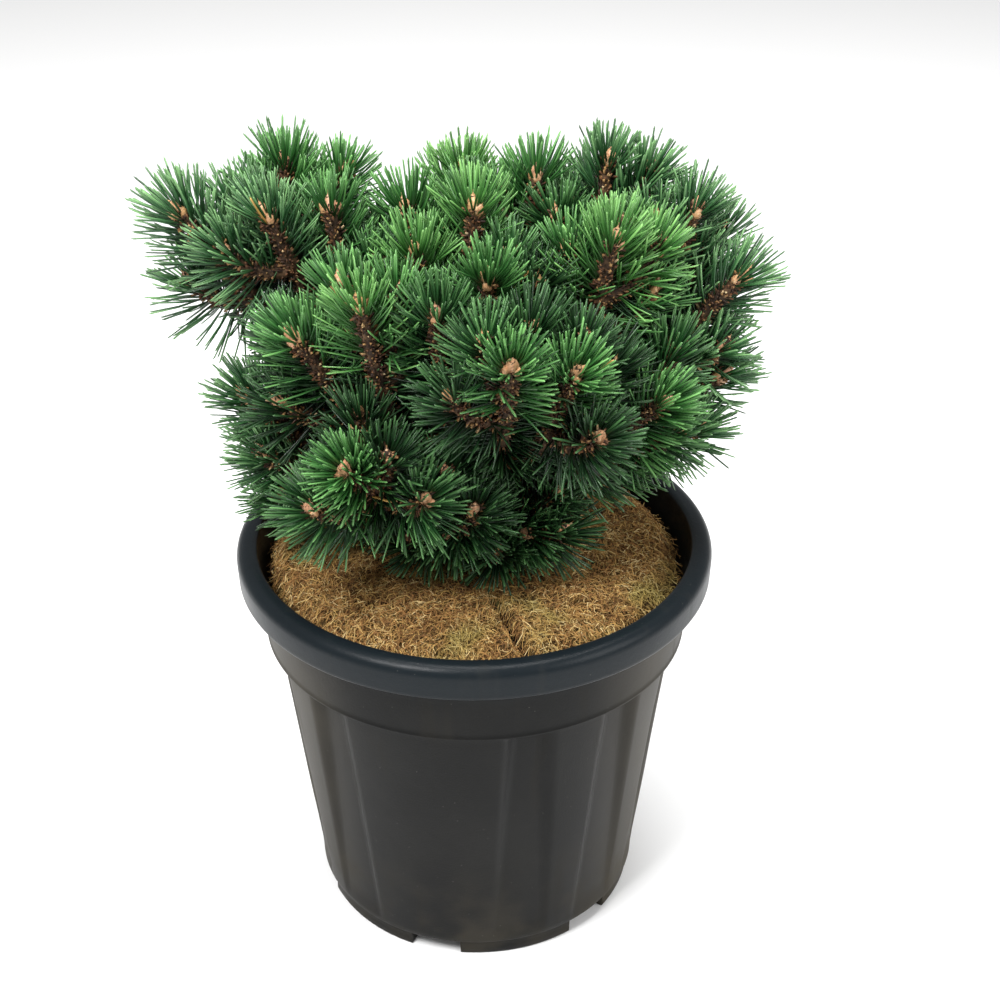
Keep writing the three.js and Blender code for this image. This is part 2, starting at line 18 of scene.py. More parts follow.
import bmesh
import bpy
import numpy as np
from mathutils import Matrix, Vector


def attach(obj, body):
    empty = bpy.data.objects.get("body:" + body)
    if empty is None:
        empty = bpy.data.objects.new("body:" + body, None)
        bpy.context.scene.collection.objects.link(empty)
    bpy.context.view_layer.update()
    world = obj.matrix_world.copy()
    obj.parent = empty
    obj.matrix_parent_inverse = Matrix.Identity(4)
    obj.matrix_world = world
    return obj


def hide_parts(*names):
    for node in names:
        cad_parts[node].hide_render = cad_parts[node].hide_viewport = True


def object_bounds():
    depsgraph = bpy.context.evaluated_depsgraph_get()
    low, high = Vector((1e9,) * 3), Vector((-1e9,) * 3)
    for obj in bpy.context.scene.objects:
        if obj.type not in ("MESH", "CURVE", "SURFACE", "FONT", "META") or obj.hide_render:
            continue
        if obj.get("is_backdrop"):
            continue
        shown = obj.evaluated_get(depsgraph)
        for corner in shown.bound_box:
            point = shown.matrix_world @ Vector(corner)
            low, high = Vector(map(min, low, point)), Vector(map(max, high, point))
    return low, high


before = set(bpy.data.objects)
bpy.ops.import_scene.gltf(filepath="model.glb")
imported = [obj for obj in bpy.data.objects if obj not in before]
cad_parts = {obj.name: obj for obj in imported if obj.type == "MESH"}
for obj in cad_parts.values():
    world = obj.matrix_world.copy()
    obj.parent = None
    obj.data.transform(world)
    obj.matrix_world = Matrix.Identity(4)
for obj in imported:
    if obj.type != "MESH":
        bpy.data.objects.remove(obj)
CAD_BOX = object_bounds()

LOG = logging.getLogger("pine")
MM = 0.001
UP = np.array([0.0, 0.0, 1.0])
GOLDEN_TURN = math.radians(137.5)
MOST_TRIANGLES = 190_000
Points = np.ndarray
Colour = Tuple[float, float, float]
Place = Tuple[float, float, float]
Span = Tuple[float, float]
Profile = Sequence[Tuple[float, float]]
Lumps = Tuple[Tuple[float, float, int], ...]


# ---- Small tools ---------------------------------------------------------------------------------


def unit(vectors: Points) -> Points:
    """Scales vectors to length 1."""
    return vectors / np.maximum(np.linalg.norm(vectors, axis=-1, keepdims=True), 1e-12)


def chance(n: float) -> float:
    """Gives a steady number from 0 to 1 for each n, so that the crown grows the same way each time."""
    s = math.sin(n * 12.9898 + 4.1414) * 43758.5453
    return s - math.floor(s)


def smooth(value: Points, low: float, high: float) -> Points:
    """Eases from 0 at low to 1 at high."""
    t = np.clip((value - low) / (high - low), 0, 1)
    return t * t * (3 - 2 * t)


def leaning(bearing: float, tilt: float) -> Points:
    """Finds the unit vector that leans from upright by tilt towards a bearing.

    Args:
        bearing: Degrees from +X towards +Y.
        tilt: Degrees from upright.

    Returns:
        The unit vector.
    """
    b, t = math.radians(bearing), math.radians(tilt)
    return np.array([math.cos(b) * math.sin(t), math.sin(b) * math.sin(t), math.cos(t)])


def sides_of(axis: Points) -> Tuple[Points, Points]:
    """Finds two unit vectors square to an axis and to each other.

    Args:
        axis: The axis, of length 1.

    Returns:
        The two vectors.
    """
    level = np.array([1.0, 0.0, 0.0]) if abs(axis[2]) > 0.95 else UP
    u = unit(np.cross(level, axis))
    return u, np.cross(axis, u)


def between(axis: Points, out: Points, angle: float) -> Points:
    """Finds the vector that stands off an axis by an angle towards another direction square to it."""
    return axis * math.cos(angle) + out * math.sin(angle)


def square_to(along: Points, out: Points) -> Points:
    """Turns each direction square to another and scales it to length 1."""
    return unit(out - along * (out * along).sum(-1)[:, None])


def lattice(cell: Points, seed: int) -> Points:
    """Gives each cell of a 3-D lattice its own steady number.

    Args:
        cell: The cells' whole numbers, one cell a row.
        seed: Which pattern.

    Returns:
        One number from -1 to 1 for each cell.
    """
    c = cell.astype(np.int64)
    h = c[..., 0] * 374761393 + c[..., 1] * 668265263 + c[..., 2] * 1442695041 + seed * 974634777
    h = ((h ^ (h >> 13)) * 1274126177) & 0xFFFFFFFF
    return ((h ^ (h >> 16)) & 0xFFFF) / 32767.5 - 1


def grain(points: Points, size: Union[float, Points], seed: int) -> Points:
    """Works out smooth noise from -1 to 1.

    Args:
        points: Places, one a row.
        size: Width of a grain, or its width along each axis.
        seed: Which pattern.

    Returns:
        One number for each place.
    """
    p = points / size
    low = np.floor(p)
    f = p - low
    f = f * f * (3 - 2 * f)
    total = np.zeros(p.shape[:-1])
    for corner in np.ndindex(2, 2, 2):
        share = np.prod(np.where(np.array(corner) == 1, f, 1 - f), axis=-1)
        total += share * lattice(low + np.array(corner), seed)
    return total


def line_distance(points: Points, line: Points) -> Points:
    """Measures how far each point is from a line of straight pieces.

    Args:
        points: Places, one a row.
        line: The line's own points, one a row.

    Returns:
        The least distance of each place.
    """
    a, span = line[:-1], np.diff(line, axis=0)
    gap = points[..., None, :] - a
    along = np.clip((gap * span).sum(-1) / (span * span).sum(-1), 0, 1)
    return np.linalg.norm(gap - along[..., None] * span, axis=-1).min(-1)


class Curve:
    """A Bezier curve of two, three or four points."""

    STEPS = 200

    def __init__(self, *controls: Sequence[float]) -> None:
        """Keeps the control points and measures the curve.

        Args:
            *controls: The points, from the curve's start to its end.
        """
        self.controls = np.array(controls, dtype=float)
        self.steps = np.linspace(0, 1, self.STEPS + 1)
        pieces = np.linalg.norm(np.diff(self.point(self.steps), axis=0), axis=1)
        self.run = np.concatenate([[0], np.cumsum(pieces)])
        self.length = float(self.run[-1])

    def point(self, t: Union[float, Points]) -> Points:
        """Finds the place at a parameter, or at each of several.

        Args:
            t: The parameter, from 0 to 1.

        Returns:
            The place, or one a row.
        """
        t = np.asarray(t, dtype=float)[..., None]
        n = len(self.controls) - 1
        return sum(math.comb(n, k) * t**k * (1 - t) ** (n - k) * self.controls[k] for k in range(n + 1))

    def tangent(self, t: Union[float, Points]) -> Points:
        """Finds the direction at a parameter, or at each of several."""
        t = np.asarray(t, dtype=float)
        return unit(self.point(np.minimum(t + 1e-4, 1)) - self.point(np.maximum(t - 1e-4, 0)))

    def parameter(self, share: Union[float, Points]) -> Points:
        """Turns a share of the length into the curve's own parameter."""
        return np.interp(np.asarray(share) * self.length, self.run, self.steps)

    def at(self, share: Union[float, Points]) -> Points:
        """Finds the place at a share of the length."""
        return self.point(self.parameter(share))

    def heading(self, share: Union[float, Points]) -> Points:
        """Finds the direction at a share of the length."""
        return self.tangent(self.parameter(share))

    def points(self, count: int) -> Points:
        """Lists the places of evenly spaced parameters, both ends among them."""
        return self.point(np.linspace(0, 1, count + 1))

    def axes(self, along: Points) -> Tuple[Points, Points]:
        """Finds, for each direction of the curve, two unit vectors square to it, without a twist.

        Args:
            along: The directions, one a row.

        Returns:
            The two vectors of each direction.
        """
        hint = sides_of(unit(self.at(1.0) - self.at(0.0)))[0]
        u = unit(hint - along * (along @ hint)[:, None])
        return u, np.cross(along, u)


@dataclass
class Sheaf:
    """Many small pieces of mesh that become one object."""

    places: List[Points] = field(default_factory=list)
    faces: List[Points] = field(default_factory=list)
    traits: Dict[str, List[Points]] = field(default_factory=dict)
    count: int = 0

    def add(self, places: Points, faces: Points, **traits: Points) -> None:
        """Adds vertices, the triangles or quads between them, and numbers that the finish reads.

        Args:
            places: Vertices in millimetres, one a row.
            faces: Corner numbers, one face a row, from 0 for the first of these vertices. A triangle's
                last corner is -1.
            **traits: One number for each vertex, by name.
        """
        if faces.shape[1] == 3:
            faces = np.column_stack([faces, np.full(len(faces), -1)])
        self.places.append(places.reshape(-1, 3))
        self.faces.append(np.where(faces < 0, -1, faces + self.count))
        for name, values in traits.items():
            self.traits.setdefault(name, []).append(np.broadcast_to(values, len(self.places[-1])))
        self.count += len(self.places[-1])

    def add_closed(self, rings: Points, foot: Points, head: Points, **traits: Points) -> None:
        """Adds a skin of rings that is closed at both ends.

        Args:
            rings: The rings, as rings by sides by 3.
            foot: The middle of its lower end.
            head: The middle of its upper end.
            **traits: Numbers that the finish reads, as rings by sides.
        """
        count, sides = rings.shape[:2]
        ring = np.arange(sides)
        last = (count - 1) * sides + ring
        none = np.full(sides, -1)
        low = np.column_stack([np.roll(ring, -1), ring, np.full(sides, count * sides), none])
        high = np.column_stack([last, np.roll(last, -1), np.full(sides, count * sides + 1), none])
        faces = np.concatenate([grid_faces(count, sides, True), low, high])
        ends = {name: np.concatenate([values.ravel(), [0, 0]]) for name, values in traits.items()}
        self.add(np.concatenate([rings.reshape(-1, 3), [foot, head]]), faces, **ends)

    def has_room(self, faces: Points) -> bool:
        """Tells whether these faces would still leave one piece with few enough triangles."""
        return sum(int((f[:, 3] >= 0).sum()) + len(f) for f in [*self.faces, faces]) <= MOST_TRIANGLES

    def build(self, name: str, finish: bpy.types.Material, smoothed: bool = True) -> bpy.types.Object:
        """Makes the object.

        Args:
            name: The object's name.
            finish: Its material.
            smoothed: Whether its faces shade smoothly.

        Returns:
            The new object, linked to the scene.
        """
        places = np.concatenate(self.places) * MM
        faces = np.concatenate(self.faces)
        corners = faces[faces >= 0]
        sizes = np.where(faces[:, 3] >= 0, 4, 3)
        starts = np.concatenate([[0], np.cumsum(sizes)[:-1]])
        mesh = bpy.data.meshes.new(name)
        mesh.vertices.add(len(places))
        mesh.vertices.foreach_set("co", places.astype(np.float32).ravel())
        mesh.loops.add(len(corners))
        mesh.loops.foreach_set("vertex_index", corners.astype(np.int32))
        mesh.polygons.add(len(faces))
        mesh.polygons.foreach_set("loop_start", starts.astype(np.int32))
        mesh.polygons.foreach_set("use_smooth", np.full(len(faces), smoothed))
        for trait, values in self.traits.items():
            attribute = mesh.attributes.new(trait, "FLOAT", "POINT")
            attribute.data.foreach_set("value", np.concatenate(values).astype(np.float32))
        mesh.update(calc_edges=True)
        mesh.validate()
        mesh.materials.append(finish)
        piece = bpy.data.objects.new(name, mesh)
        bpy.context.scene.collection.objects.link(piece)
        return piece


def grid_faces(rows: int, columns: int, closed: bool) -> Points:
    """Numbers the quads of a grid of vertices.

    Args:
        rows: Rows of vertices.
        columns: Vertices in a row.
        closed: Whether a row's last vertex joins its first.

    Returns:
        The quads' corners, one quad a row, facing out for rings that turn left as they climb.
    """
    row, column = np.mgrid[: rows - 1, : columns if closed else columns - 1]
    a = (row * columns + column).ravel()
    b = (row * columns + (column + 1) % columns).ravel()
    return np.column_stack([a, b, b + columns, a + columns])


def repeated(faces: Sequence[Sequence[int]], copies: int, stride: int) -> Points:
    """Numbers the faces of many like pieces whose vertices follow each other.

    Args:
        faces: One piece's faces. A triangle's last corner is -1.
        copies: How many pieces.
        stride: Vertices in a piece.

    Returns:
        All their faces, one a row.
    """
    one = np.array(faces)[None]
    moved = one + (np.arange(copies) * stride)[:, None, None]
    return np.where(one < 0, -1, moved).reshape(-1, 4)


def circle(count: int) -> Points:
    """Lists evenly spaced angles round a circle."""
    return np.linspace(0, 2 * math.pi, count, endpoint=False)


def tube(curve: Curve, shares: Points, sides: int, radius: Callable[[Points, Points], Points]) -> Points:
    """Finds the rings of a limb along a curve.

    Args:
        curve: The limb's middle line.
        shares: Where the rings stand, as shares of its length.
        sides: Vertices in a ring.
        radius: Gives each vertex its radius from its share and its angle.

    Returns:
        Places, as rings by sides by 3.
    """
    centre, along = curve.at(shares), curve.heading(shares)
    u, v = curve.axes(along)
    angle = circle(sides)
    r = radius(shares[:, None], angle[None, :])[..., None]
    out = np.cos(angle)[:, None] * u[:, None] + np.sin(angle)[:, None] * v[:, None]
    return centre[:, None] + r * out


def weld(piece: bpy.types.Object, distance: float) -> None:
    """Merges vertices that lie on each other, which drops faces of no area, and turns all faces outwards.

    Args:
        piece: The object.
        distance: How near two vertices are that become one, in metres.
    """
    mesh = bmesh.new()
    mesh.from_mesh(piece.data)
    bmesh.ops.remove_doubles(mesh, verts=mesh.verts, dist=distance)
    bmesh.ops.recalc_face_normals(mesh, faces=mesh.faces)
    mesh.to_mesh(piece.data)
    mesh.free()


def tied(piece: bpy.types.Object, nodes: Sequence[str]) -> bpy.types.Object:
    """Ties a piece to the frame.

    Args:
        piece: The piece.
        nodes: The frame's nodes that it stands for.

    Returns:
        The piece.
    """
    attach(piece, "root")
    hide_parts(*nodes)
    return piece


# ---- Shader tools --------------------------------------------------------------------------------


class Wire:
    """A node's output that takes part in Python arithmetic."""

    def __init__(self, graph: "Graph", socket: bpy.types.NodeSocket) -> None:
        """Keeps the graph and the output."""
        self.graph = graph
        self.socket = socket

    def _math(self, operation: str, *values: Any, clamp: bool = False) -> "Wire":
        """Adds one Math node."""
        settings = {"operation": operation, "use_clamp": clamp}
        return self.graph.node("ShaderNodeMath", settings, dict(enumerate(values)))

    def __add__(self, other: Any) -> "Wire":
        """Adds."""
        return self._math("ADD", self, other)

    __radd__ = __add__

    def __sub__(self, other: Any) -> "Wire":
        """Subtracts a value from this one."""
        return self._math("SUBTRACT", self, other)

    def __rsub__(self, other: Any) -> "Wire":
        """Subtracts this value from another."""
        return self._math("SUBTRACT", other, self)

    def __mul__(self, other: Any) -> "Wire":
        """Multiplies."""
        return self._math("MULTIPLY", self, other)

    __rmul__ = __mul__

    def clamped(self) -> "Wire":
        """Keeps the value from 0 to 1."""
        return self._math("ADD", self, 0.0, clamp=True)


class Graph:
    """A material's nodes round one Principled shader."""

    def __init__(self, name: str) -> None:
        """Starts a material with a bare shader.

        Args:
            name: The material's name.
        """
        self.material = bpy.data.materials.new(name)
        self.material.use_nodes = True
        self.nodes = self.material.node_tree.nodes
        self.links = self.material.node_tree.links
        self.nodes.clear()
        self.shader = self.nodes.new("ShaderNodeBsdfPrincipled")
        output = self.nodes.new("ShaderNodeOutputMaterial")
        self.links.new(self.shader.outputs[0], output.inputs["Surface"])

    def feed(self, socket: bpy.types.NodeSocket, value: Any) -> None:
        """Sets a socket to a number or colour, or links a wire to it.

        Args:
            socket: The input.
            value: A number, a colour or a wire.
        """
        if isinstance(value, Wire):
            self.links.new(value.socket, socket)
        elif isinstance(value, tuple) and len(value) == 3 and len(socket.default_value) == 4:
            socket.default_value = (*value, 1.0)
        else:
            socket.default_value = value

    def node(self, kind: str, settings: Dict[str, Any], sockets: Dict[Any, Any], output: Any = 0) -> Wire:
        """Adds one node.

        Args:
            kind: The node's type.
            settings: Its own settings, set first. A list under the name stops makes a ramp's stops.
            sockets: Values or wires by input name or number.
            output: Which output to return.

        Returns:
            That output.
        """
        made = self.nodes.new(kind)
        for name, value in settings.items():
            if name == "stops":
                self._stops(made.color_ramp, value)
            else:
                setattr(made, name, value)
        for key, value in sockets.items():
            self.feed(made.inputs[key], value)
        return Wire(self, made.outputs[output])

    @staticmethod
    def _stops(ramp: bpy.types.ColorRamp, stops: Sequence[Tuple[float, Colour]]) -> None:
        """Gives a ramp its stops.

        Args:
            ramp: The ramp.
            stops: Each stop's place and colour.
        """
        while len(ramp.elements) < len(stops):
            ramp.elements.new(1.0)
        for element, (place, colour) in zip(ramp.elements, stops):
            element.position = place
            element.color = (*colour, 1.0)

    def place(self) -> Wire:
        """Gives the point's place on the object, in metres."""
        return self.node("ShaderNodeTexCoord", {}, {}, "Object")

    def trait(self, name: str) -> Wire:
        """Reads a number that the mesh carries."""
        return self.node("ShaderNodeAttribute", {"attribute_name": name}, {}, "Fac")

    def noise(self, grains: float, detail: float = 3, where: Any = None, distortion: float = 0) -> Wire:
        """Adds noise.

        Args:
            grains: Grains to a metre.
            detail: How many finer layers it has.
            where: A vector to read it by, in place of the object's own.
            distortion: How much it swirls.

        Returns:
            Its value, about 0.5 in the middle.
        """
        sockets = {"Vector": where or self.place(), "Scale": grains}
        sockets.update({"Detail": detail, "Distortion": distortion})
        return self.node("ShaderNodeTexNoise", {}, sockets, "Fac")

    def spots(self, cells: float) -> Wire:
        """Adds cells, so many to a metre, and gives the distance from the nearest middle."""
        return self.node("ShaderNodeTexVoronoi", {}, {"Vector": self.place(), "Scale": cells}, "Distance")

    def stretched(self, x: float, y: float, z: float) -> Wire:
        """Gives the place with each axis scaled by its own factor."""
        sockets = {0: self.place(), 1: (x, y, z)}
        return self.node("ShaderNodeVectorMath", {"operation": "MULTIPLY"}, sockets)

    def step(self, value: Any, low: float, high: float) -> Wire:
        """Eases from 0 at low to 1 at high."""
        settings = {"interpolation_type": "SMOOTHSTEP", "clamp": True}
        return self.node("ShaderNodeMapRange", settings, {0: value, 1: low, 2: high, 3: 0.0, 4: 1.0})

    def ramp(self, value: Any, *stops: Tuple[float, Colour]) -> Wire:
        """Turns a value into a colour."""
        return self.node("ShaderNodeValToRGB", {"stops": stops}, {"Fac": value})

    def mix(self, share: Any, low: Any, high: Any) -> Wire:
        """Mixes two colours."""
        settings = {"data_type": "RGBA", "clamp_factor": True}
        return self.node("ShaderNodeMix", settings, {0: share, 6: low, 7: high}, 2)

    def bump(self, height: Any, distance: float, strength: float = 1.0) -> Wire:
        """Turns a height into a normal.

        Args:
            height: From 0 to 1.
            distance: The real height in metres that 1 stands for.
            strength: How much of it shows.

        Returns:
            The normal.
        """
        sockets = {"Height": height, "Distance": distance, "Strength": strength}
        return self.node("ShaderNodeBump", {}, sockets)

    def finish(self, **sockets: Any) -> bpy.types.Material:
        """Sets the shader's sockets.

        Args:
            **sockets: Values or wires by the socket's name, with _ for each space.

        Returns:
            The material.
        """
        for name, value in sockets.items():
            self.feed(self.shader.inputs[name.replace("_", " ")], value)
        return self.material


# ---- Finishes ------------------------------------------------------------------------------------


@dataclass(frozen=True)
class PotPlastic:
    """Dark moulded plastic: a little scuffed and dusty low on the pot, with a painted bluish reflection on
    the lip and a painted dusty sheen on its left and right sides.
    """

    dark: Colour = (0.0030, 0.0031, 0.0029)
    worn: Colour = (0.0080, 0.0080, 0.0073)
    # Painted bluish reflection on the lip.
    blue: Colour = (0.0072, 0.0105, 0.0130)
    # Dusty colour of the real dirt low down and in the scuffs, also used for the painted sheen on the
    # sides.
    dust_and_side_sheen: Colour = (0.068, 0.059, 0.043)
    speck: Colour = (0.13, 0.125, 0.11)
    low_top: float = 0.11
    # Heights, in metres, where the lip's painted reflection and its smoother gloss come in.
    rim_rise: Span = (0.235, 0.262)
    # Squared distance across X, in square metres, over which the painted side sheen comes in.
    side_sheen_squares: Span = (0.004, 0.0145)
    # How strongly the painted side sheen shows.
    side_sheen: float = 0.66
    gloss: float = 0.13

    def material(self) -> bpy.types.Material:
        """Builds the material.

        Returns:
            The material.
        """
        g = Graph("charcoal_plastic")
        height = g.node("ShaderNodeSeparateXYZ", {}, {0: g.place()}, "Z")
        across = g.node("ShaderNodeSeparateXYZ", {}, {0: g.place()}, "X")
        cloud = g.noise(14, 4)
        scuffs = g.step(g.noise(60, 5, g.stretched(1, 1, 0.12)), 0.56, 0.74)
        low = (1 - g.step(height, 0.0, self.low_top)) * g.step(g.noise(30, 5), 0.35, 0.7)
        # The lip: it gets its painted bluish reflection and a smoother gloss.
        rim = g.step(height, *self.rim_rise)
        # Painted sheen: the pot's left and right sides, below the lip, get lighter.
        sides = g.step(across * across, *self.side_sheen_squares) * (1 - rim) * (0.35 + 0.9 * cloud)
        specks = 1 - g.step(g.spots(120), 0.03, 0.05)
        base = g.mix(g.step(cloud, 0.3, 0.75), self.dark, self.worn)
        # Painted reflection: the lip's colour turns bluish.
        base = g.mix(rim, base, self.blue)
        # Real dusting low on the pot and in the scuffs, plus the painted sheen on the left and right
        # sides, all in one dusty colour.
        base = g.mix(low * 0.35 + scuffs * 0.06 + sides * self.side_sheen, base, self.dust_and_side_sheen)
        base = g.mix(specks * 0.4, base, self.speck)
        rough = 0.38 + 0.14 * cloud + 0.1 * scuffs + 0.2 * low - 0.13 * rim
        relief = g.bump(g.noise(900, 2) * 0.6 + g.noise(120, 3) * 0.4, 0.0004, 0.5)
        return g.finish(Base_Color=base, Roughness=rough, Normal=relief, Specular_IOR_Level=self.gloss)


@dataclass(frozen=True)
class CoirBed:
    """The dark bed of soil, moss and short fibres under the loose coir, with painted shade down its crack.
    """

    # Painted shade in the crack.
    dark: Colour = (0.014, 0.009, 0.005)
    soil: Colour = (0.036, 0.021, 0.009)
    straw: Colour = (0.24, 0.145, 0.050)
    moss: Colour = (0.16, 0.150, 0.045)

    def material(self) -> bpy.types.Material:
        """Builds the material.

        Returns:
            The material.
        """
        g = Graph("coir_bed")
        strands = g.step(g.noise(420, 3, distortion=2.5), 0.42, 0.62)
        base = g.mix(strands, self.soil, self.straw)
        base = g.mix(g.step(g.noise(26, 4), 0.55, 0.72) * 0.5, base, self.moss)
        # Painted shade: the crack's floor darkens almost to black.
        base = g.mix(g.step(g.trait("crack"), 0.1, 0.55), base, self.dark)
        relief = g.bump(strands, 0.0012, 0.9)
        return g.finish(Base_Color=base, Roughness=0.95, Normal=relief, Specular_IOR_Level=0.15)


@dataclass(frozen=True)
class CoirStrand:
    """Dry coir strands, from dark brown over ochre to pale straw."""

    dark: Colour = (0.110, 0.056, 0.022)
    rust: Colour = (0.320, 0.155, 0.050)
    ochre: Colour = (0.500, 0.310, 0.095)
    pale: Colour = (0.780, 0.600, 0.300)
    olive: Colour = (0.310, 0.265, 0.070)

    def material(self) -> bpy.types.Material:
        """Builds the material.

        Returns:
            The material.
        """
        g = Graph("coir_strands")
        tone = g.trait("tone")
        patches = g.noise(34, 4)
        stops = ((0.0, self.dark), (0.32, self.rust), (0.7, self.ochre), (1.0, self.pale))
        base = g.ramp((tone + (patches - 0.5) * 0.9).clamped(), *stops)
        base = g.mix(g.step(g.noise(17, 3), 0.5, 0.66) * 0.65, base, self.olive)
        return g.finish(Base_Color=base, Roughness=0.8, Specular_IOR_Level=0.25)


@dataclass(frozen=True)
class OldBark:
    """Scaly grey-brown bark with rusty flakes."""

    crack: Colour = (0.016, 0.010, 0.006)
    brown: Colour = (0.075, 0.044, 0.024)
    rust: Colour = (0.180, 0.085, 0.034)
    grey: Colour = (0.140, 0.118, 0.092)

    def material(self) -> bpy.types.Material:
        """Builds the material.

        Returns:
            The material.
        """
        g = Graph("old_bark")
        flakes = g.spots(210)
        fibre = g.noise(520, 4)
        base = g.mix(g.step(g.noise(75, 4), 0.4, 0.62), self.brown, self.rust)
        base = g.mix(g.step(g.noise(120, 3), 0.55, 0.75) * 0.6, base, self.grey)
        base = g.mix(g.step(flakes + 0.3 * fibre, 0.62, 0.85), base, self.crack)
        relief = g.bump(flakes * 0.7 + fibre * 0.5, 0.0012, 0.8)
        return g.finish(Base_Color=base, Roughness=0.9, Normal=relief, Specular_IOR_Level=0.2)


@dataclass(frozen=True)
class ShootBark:
    """Young shoot bark: dark brown scales with golden edges."""

    dark: Colour = (0.030, 0.018, 0.011)
    brown: Colour = (0.105, 0.058, 0.028)
    gold: Colour = (0.36, 0.21, 0.075)

    def material(self) -> bpy.types.Material:
        """Builds the material.

        Returns:
            The material.
        """
        g = Graph("shoot_bark")
        base = g.mix(g.step(g.noise(160, 3), 0.38, 0.66), self.dark, self.brown)
        edges = g.step(g.trait("edge") + 0.5 * g.noise(300, 2), 0.95, 1.25)
        base = g.mix(edges * 0.8, base, self.gold)
        return g.finish(Base_Color=base, Roughness=0.75, Specular_IOR_Level=0.3)


@dataclass(frozen=True)
class SheathSkin:
    """The papery sheaths that hold the needles: dark at the foot, rusty or golden at the end."""

    dark: Colour = (0.022, 0.011, 0.006)
    rust: Colour = (0.150, 0.060, 0.022)
    gold: Colour = (0.380, 0.220, 0.080)
    pale: Colour = (0.600, 0.450, 0.260)

    def material(self) -> bpy.types.Material:
        """Builds the material.

        Returns:
            The material.
        """
        g = Graph("needle_sheath")
        stops = ((0.0, self.dark), (0.35, self.rust), (0.72, self.gold), (1.0, self.pale))
        end = g.ramp(g.trait("tone"), *stops)
        base = g.mix(g.step(g.trait("along"), 0.25, 0.95), self.dark, end)
        return g.finish(Base_Color=base, Roughness=0.6, Specular_IOR_Level=0.35)


@dataclass(frozen=True)
class BudScales:
    """Resinous tan buds with darker scale edges."""

    tan: Colour = (0.58, 0.32, 0.13)
    rosy: Colour = (0.66, 0.33, 0.19)
    pale: Colour = (0.80, 0.62, 0.38)
    brown: Colour = (0.24, 0.105, 0.045)

    def material(self) -> bpy.types.Material:
        """Builds the material.

        Returns:
            The material.
        """
        g = Graph("bud_scales")
        base = g.mix(g.trait("tone"), self.tan, self.rosy)
        base = g.mix(g.step(g.noise(420, 3), 0.5, 0.7) * 0.65, base, self.pale)
        base = g.mix((1 - g.step(g.trait("edge"), 0.0, 0.45)) * 0.75, base, self.brown)
        return g.finish(Base_Color=base, Roughness=0.5, Coat_Weight=0.15, Coat_Roughness=0.3)


@dataclass(frozen=True)
class NeedleSkin:
    """One tint of waxy needle: light at its tip, with painted shade darkening its foot, each needle a tone
    of its own.
    """

    name: str
    body: Colour
    tip: Colour
    # Painted shade at the needle's foot, standing for the shadow inside the spray.
    foot: Colour

    def material(self) -> bpy.types.Material:
        """Builds the material.

        Returns:
            The material.
        """
        g = Graph(f"needle_{self.name}")
        along, tone = g.trait("along"), g.trait("tone")
        base = g.mix(g.step(along + (tone - 0.5) * 0.5, 0.45, 1.15), self.body, self.tip)
        # Painted shade: each needle darkens towards its foot over its lower half.
        base = g.mix((1 - g.step(along, 0.0, 0.55)) * 0.92, base, self.foot)
        base = g.node("ShaderNodeVectorMath", {"operation": "SCALE"}, {0: base, "Scale": 0.5 + tone})
        rough = 0.26 + 0.22 * g.noise(240, 2)
        return g.finish(Base_Color=base, Roughness=rough, Specular_IOR_Level=0.45)


class Tint(Enum):
    """The kinds of needles, dealt out by spray: the colours of the blade's body, its tip and the painted
    shade at its foot. The darker tints also serve as copies that paint the shade further inside and under
    the crown.
    """

    FRESH = NeedleSkin("fresh", (0.048, 0.175, 0.033), (0.171, 0.362, 0.104), (0.017, 0.040, 0.010))
    GREEN = NeedleSkin("green", (0.028, 0.123, 0.025), (0.122, 0.288, 0.083), (0.010, 0.028, 0.007))
    BLUE = NeedleSkin("blue", (0.028, 0.106, 0.033), (0.150, 0.292, 0.116), (0.010, 0.026, 0.008))
    # A darker copy of the green that paints shade on low limbs and on side shoots inside the crown.
    HALF_SHADE = NeedleSkin("deep", (0.016, 0.074, 0.018), (0.085, 0.198, 0.063), (0.006, 0.016, 0.005))
    SHADE = NeedleSkin("shade", (0.007, 0.034, 0.009), (0.042, 0.110, 0.034), (0.003, 0.008, 0.002))
    STRAW = NeedleSkin("straw", (0.420, 0.240, 0.060), (0.560, 0.330, 0.100), (0.160, 0.080, 0.025))


# ---- Pot -----------------------------------------------------------------------------------------


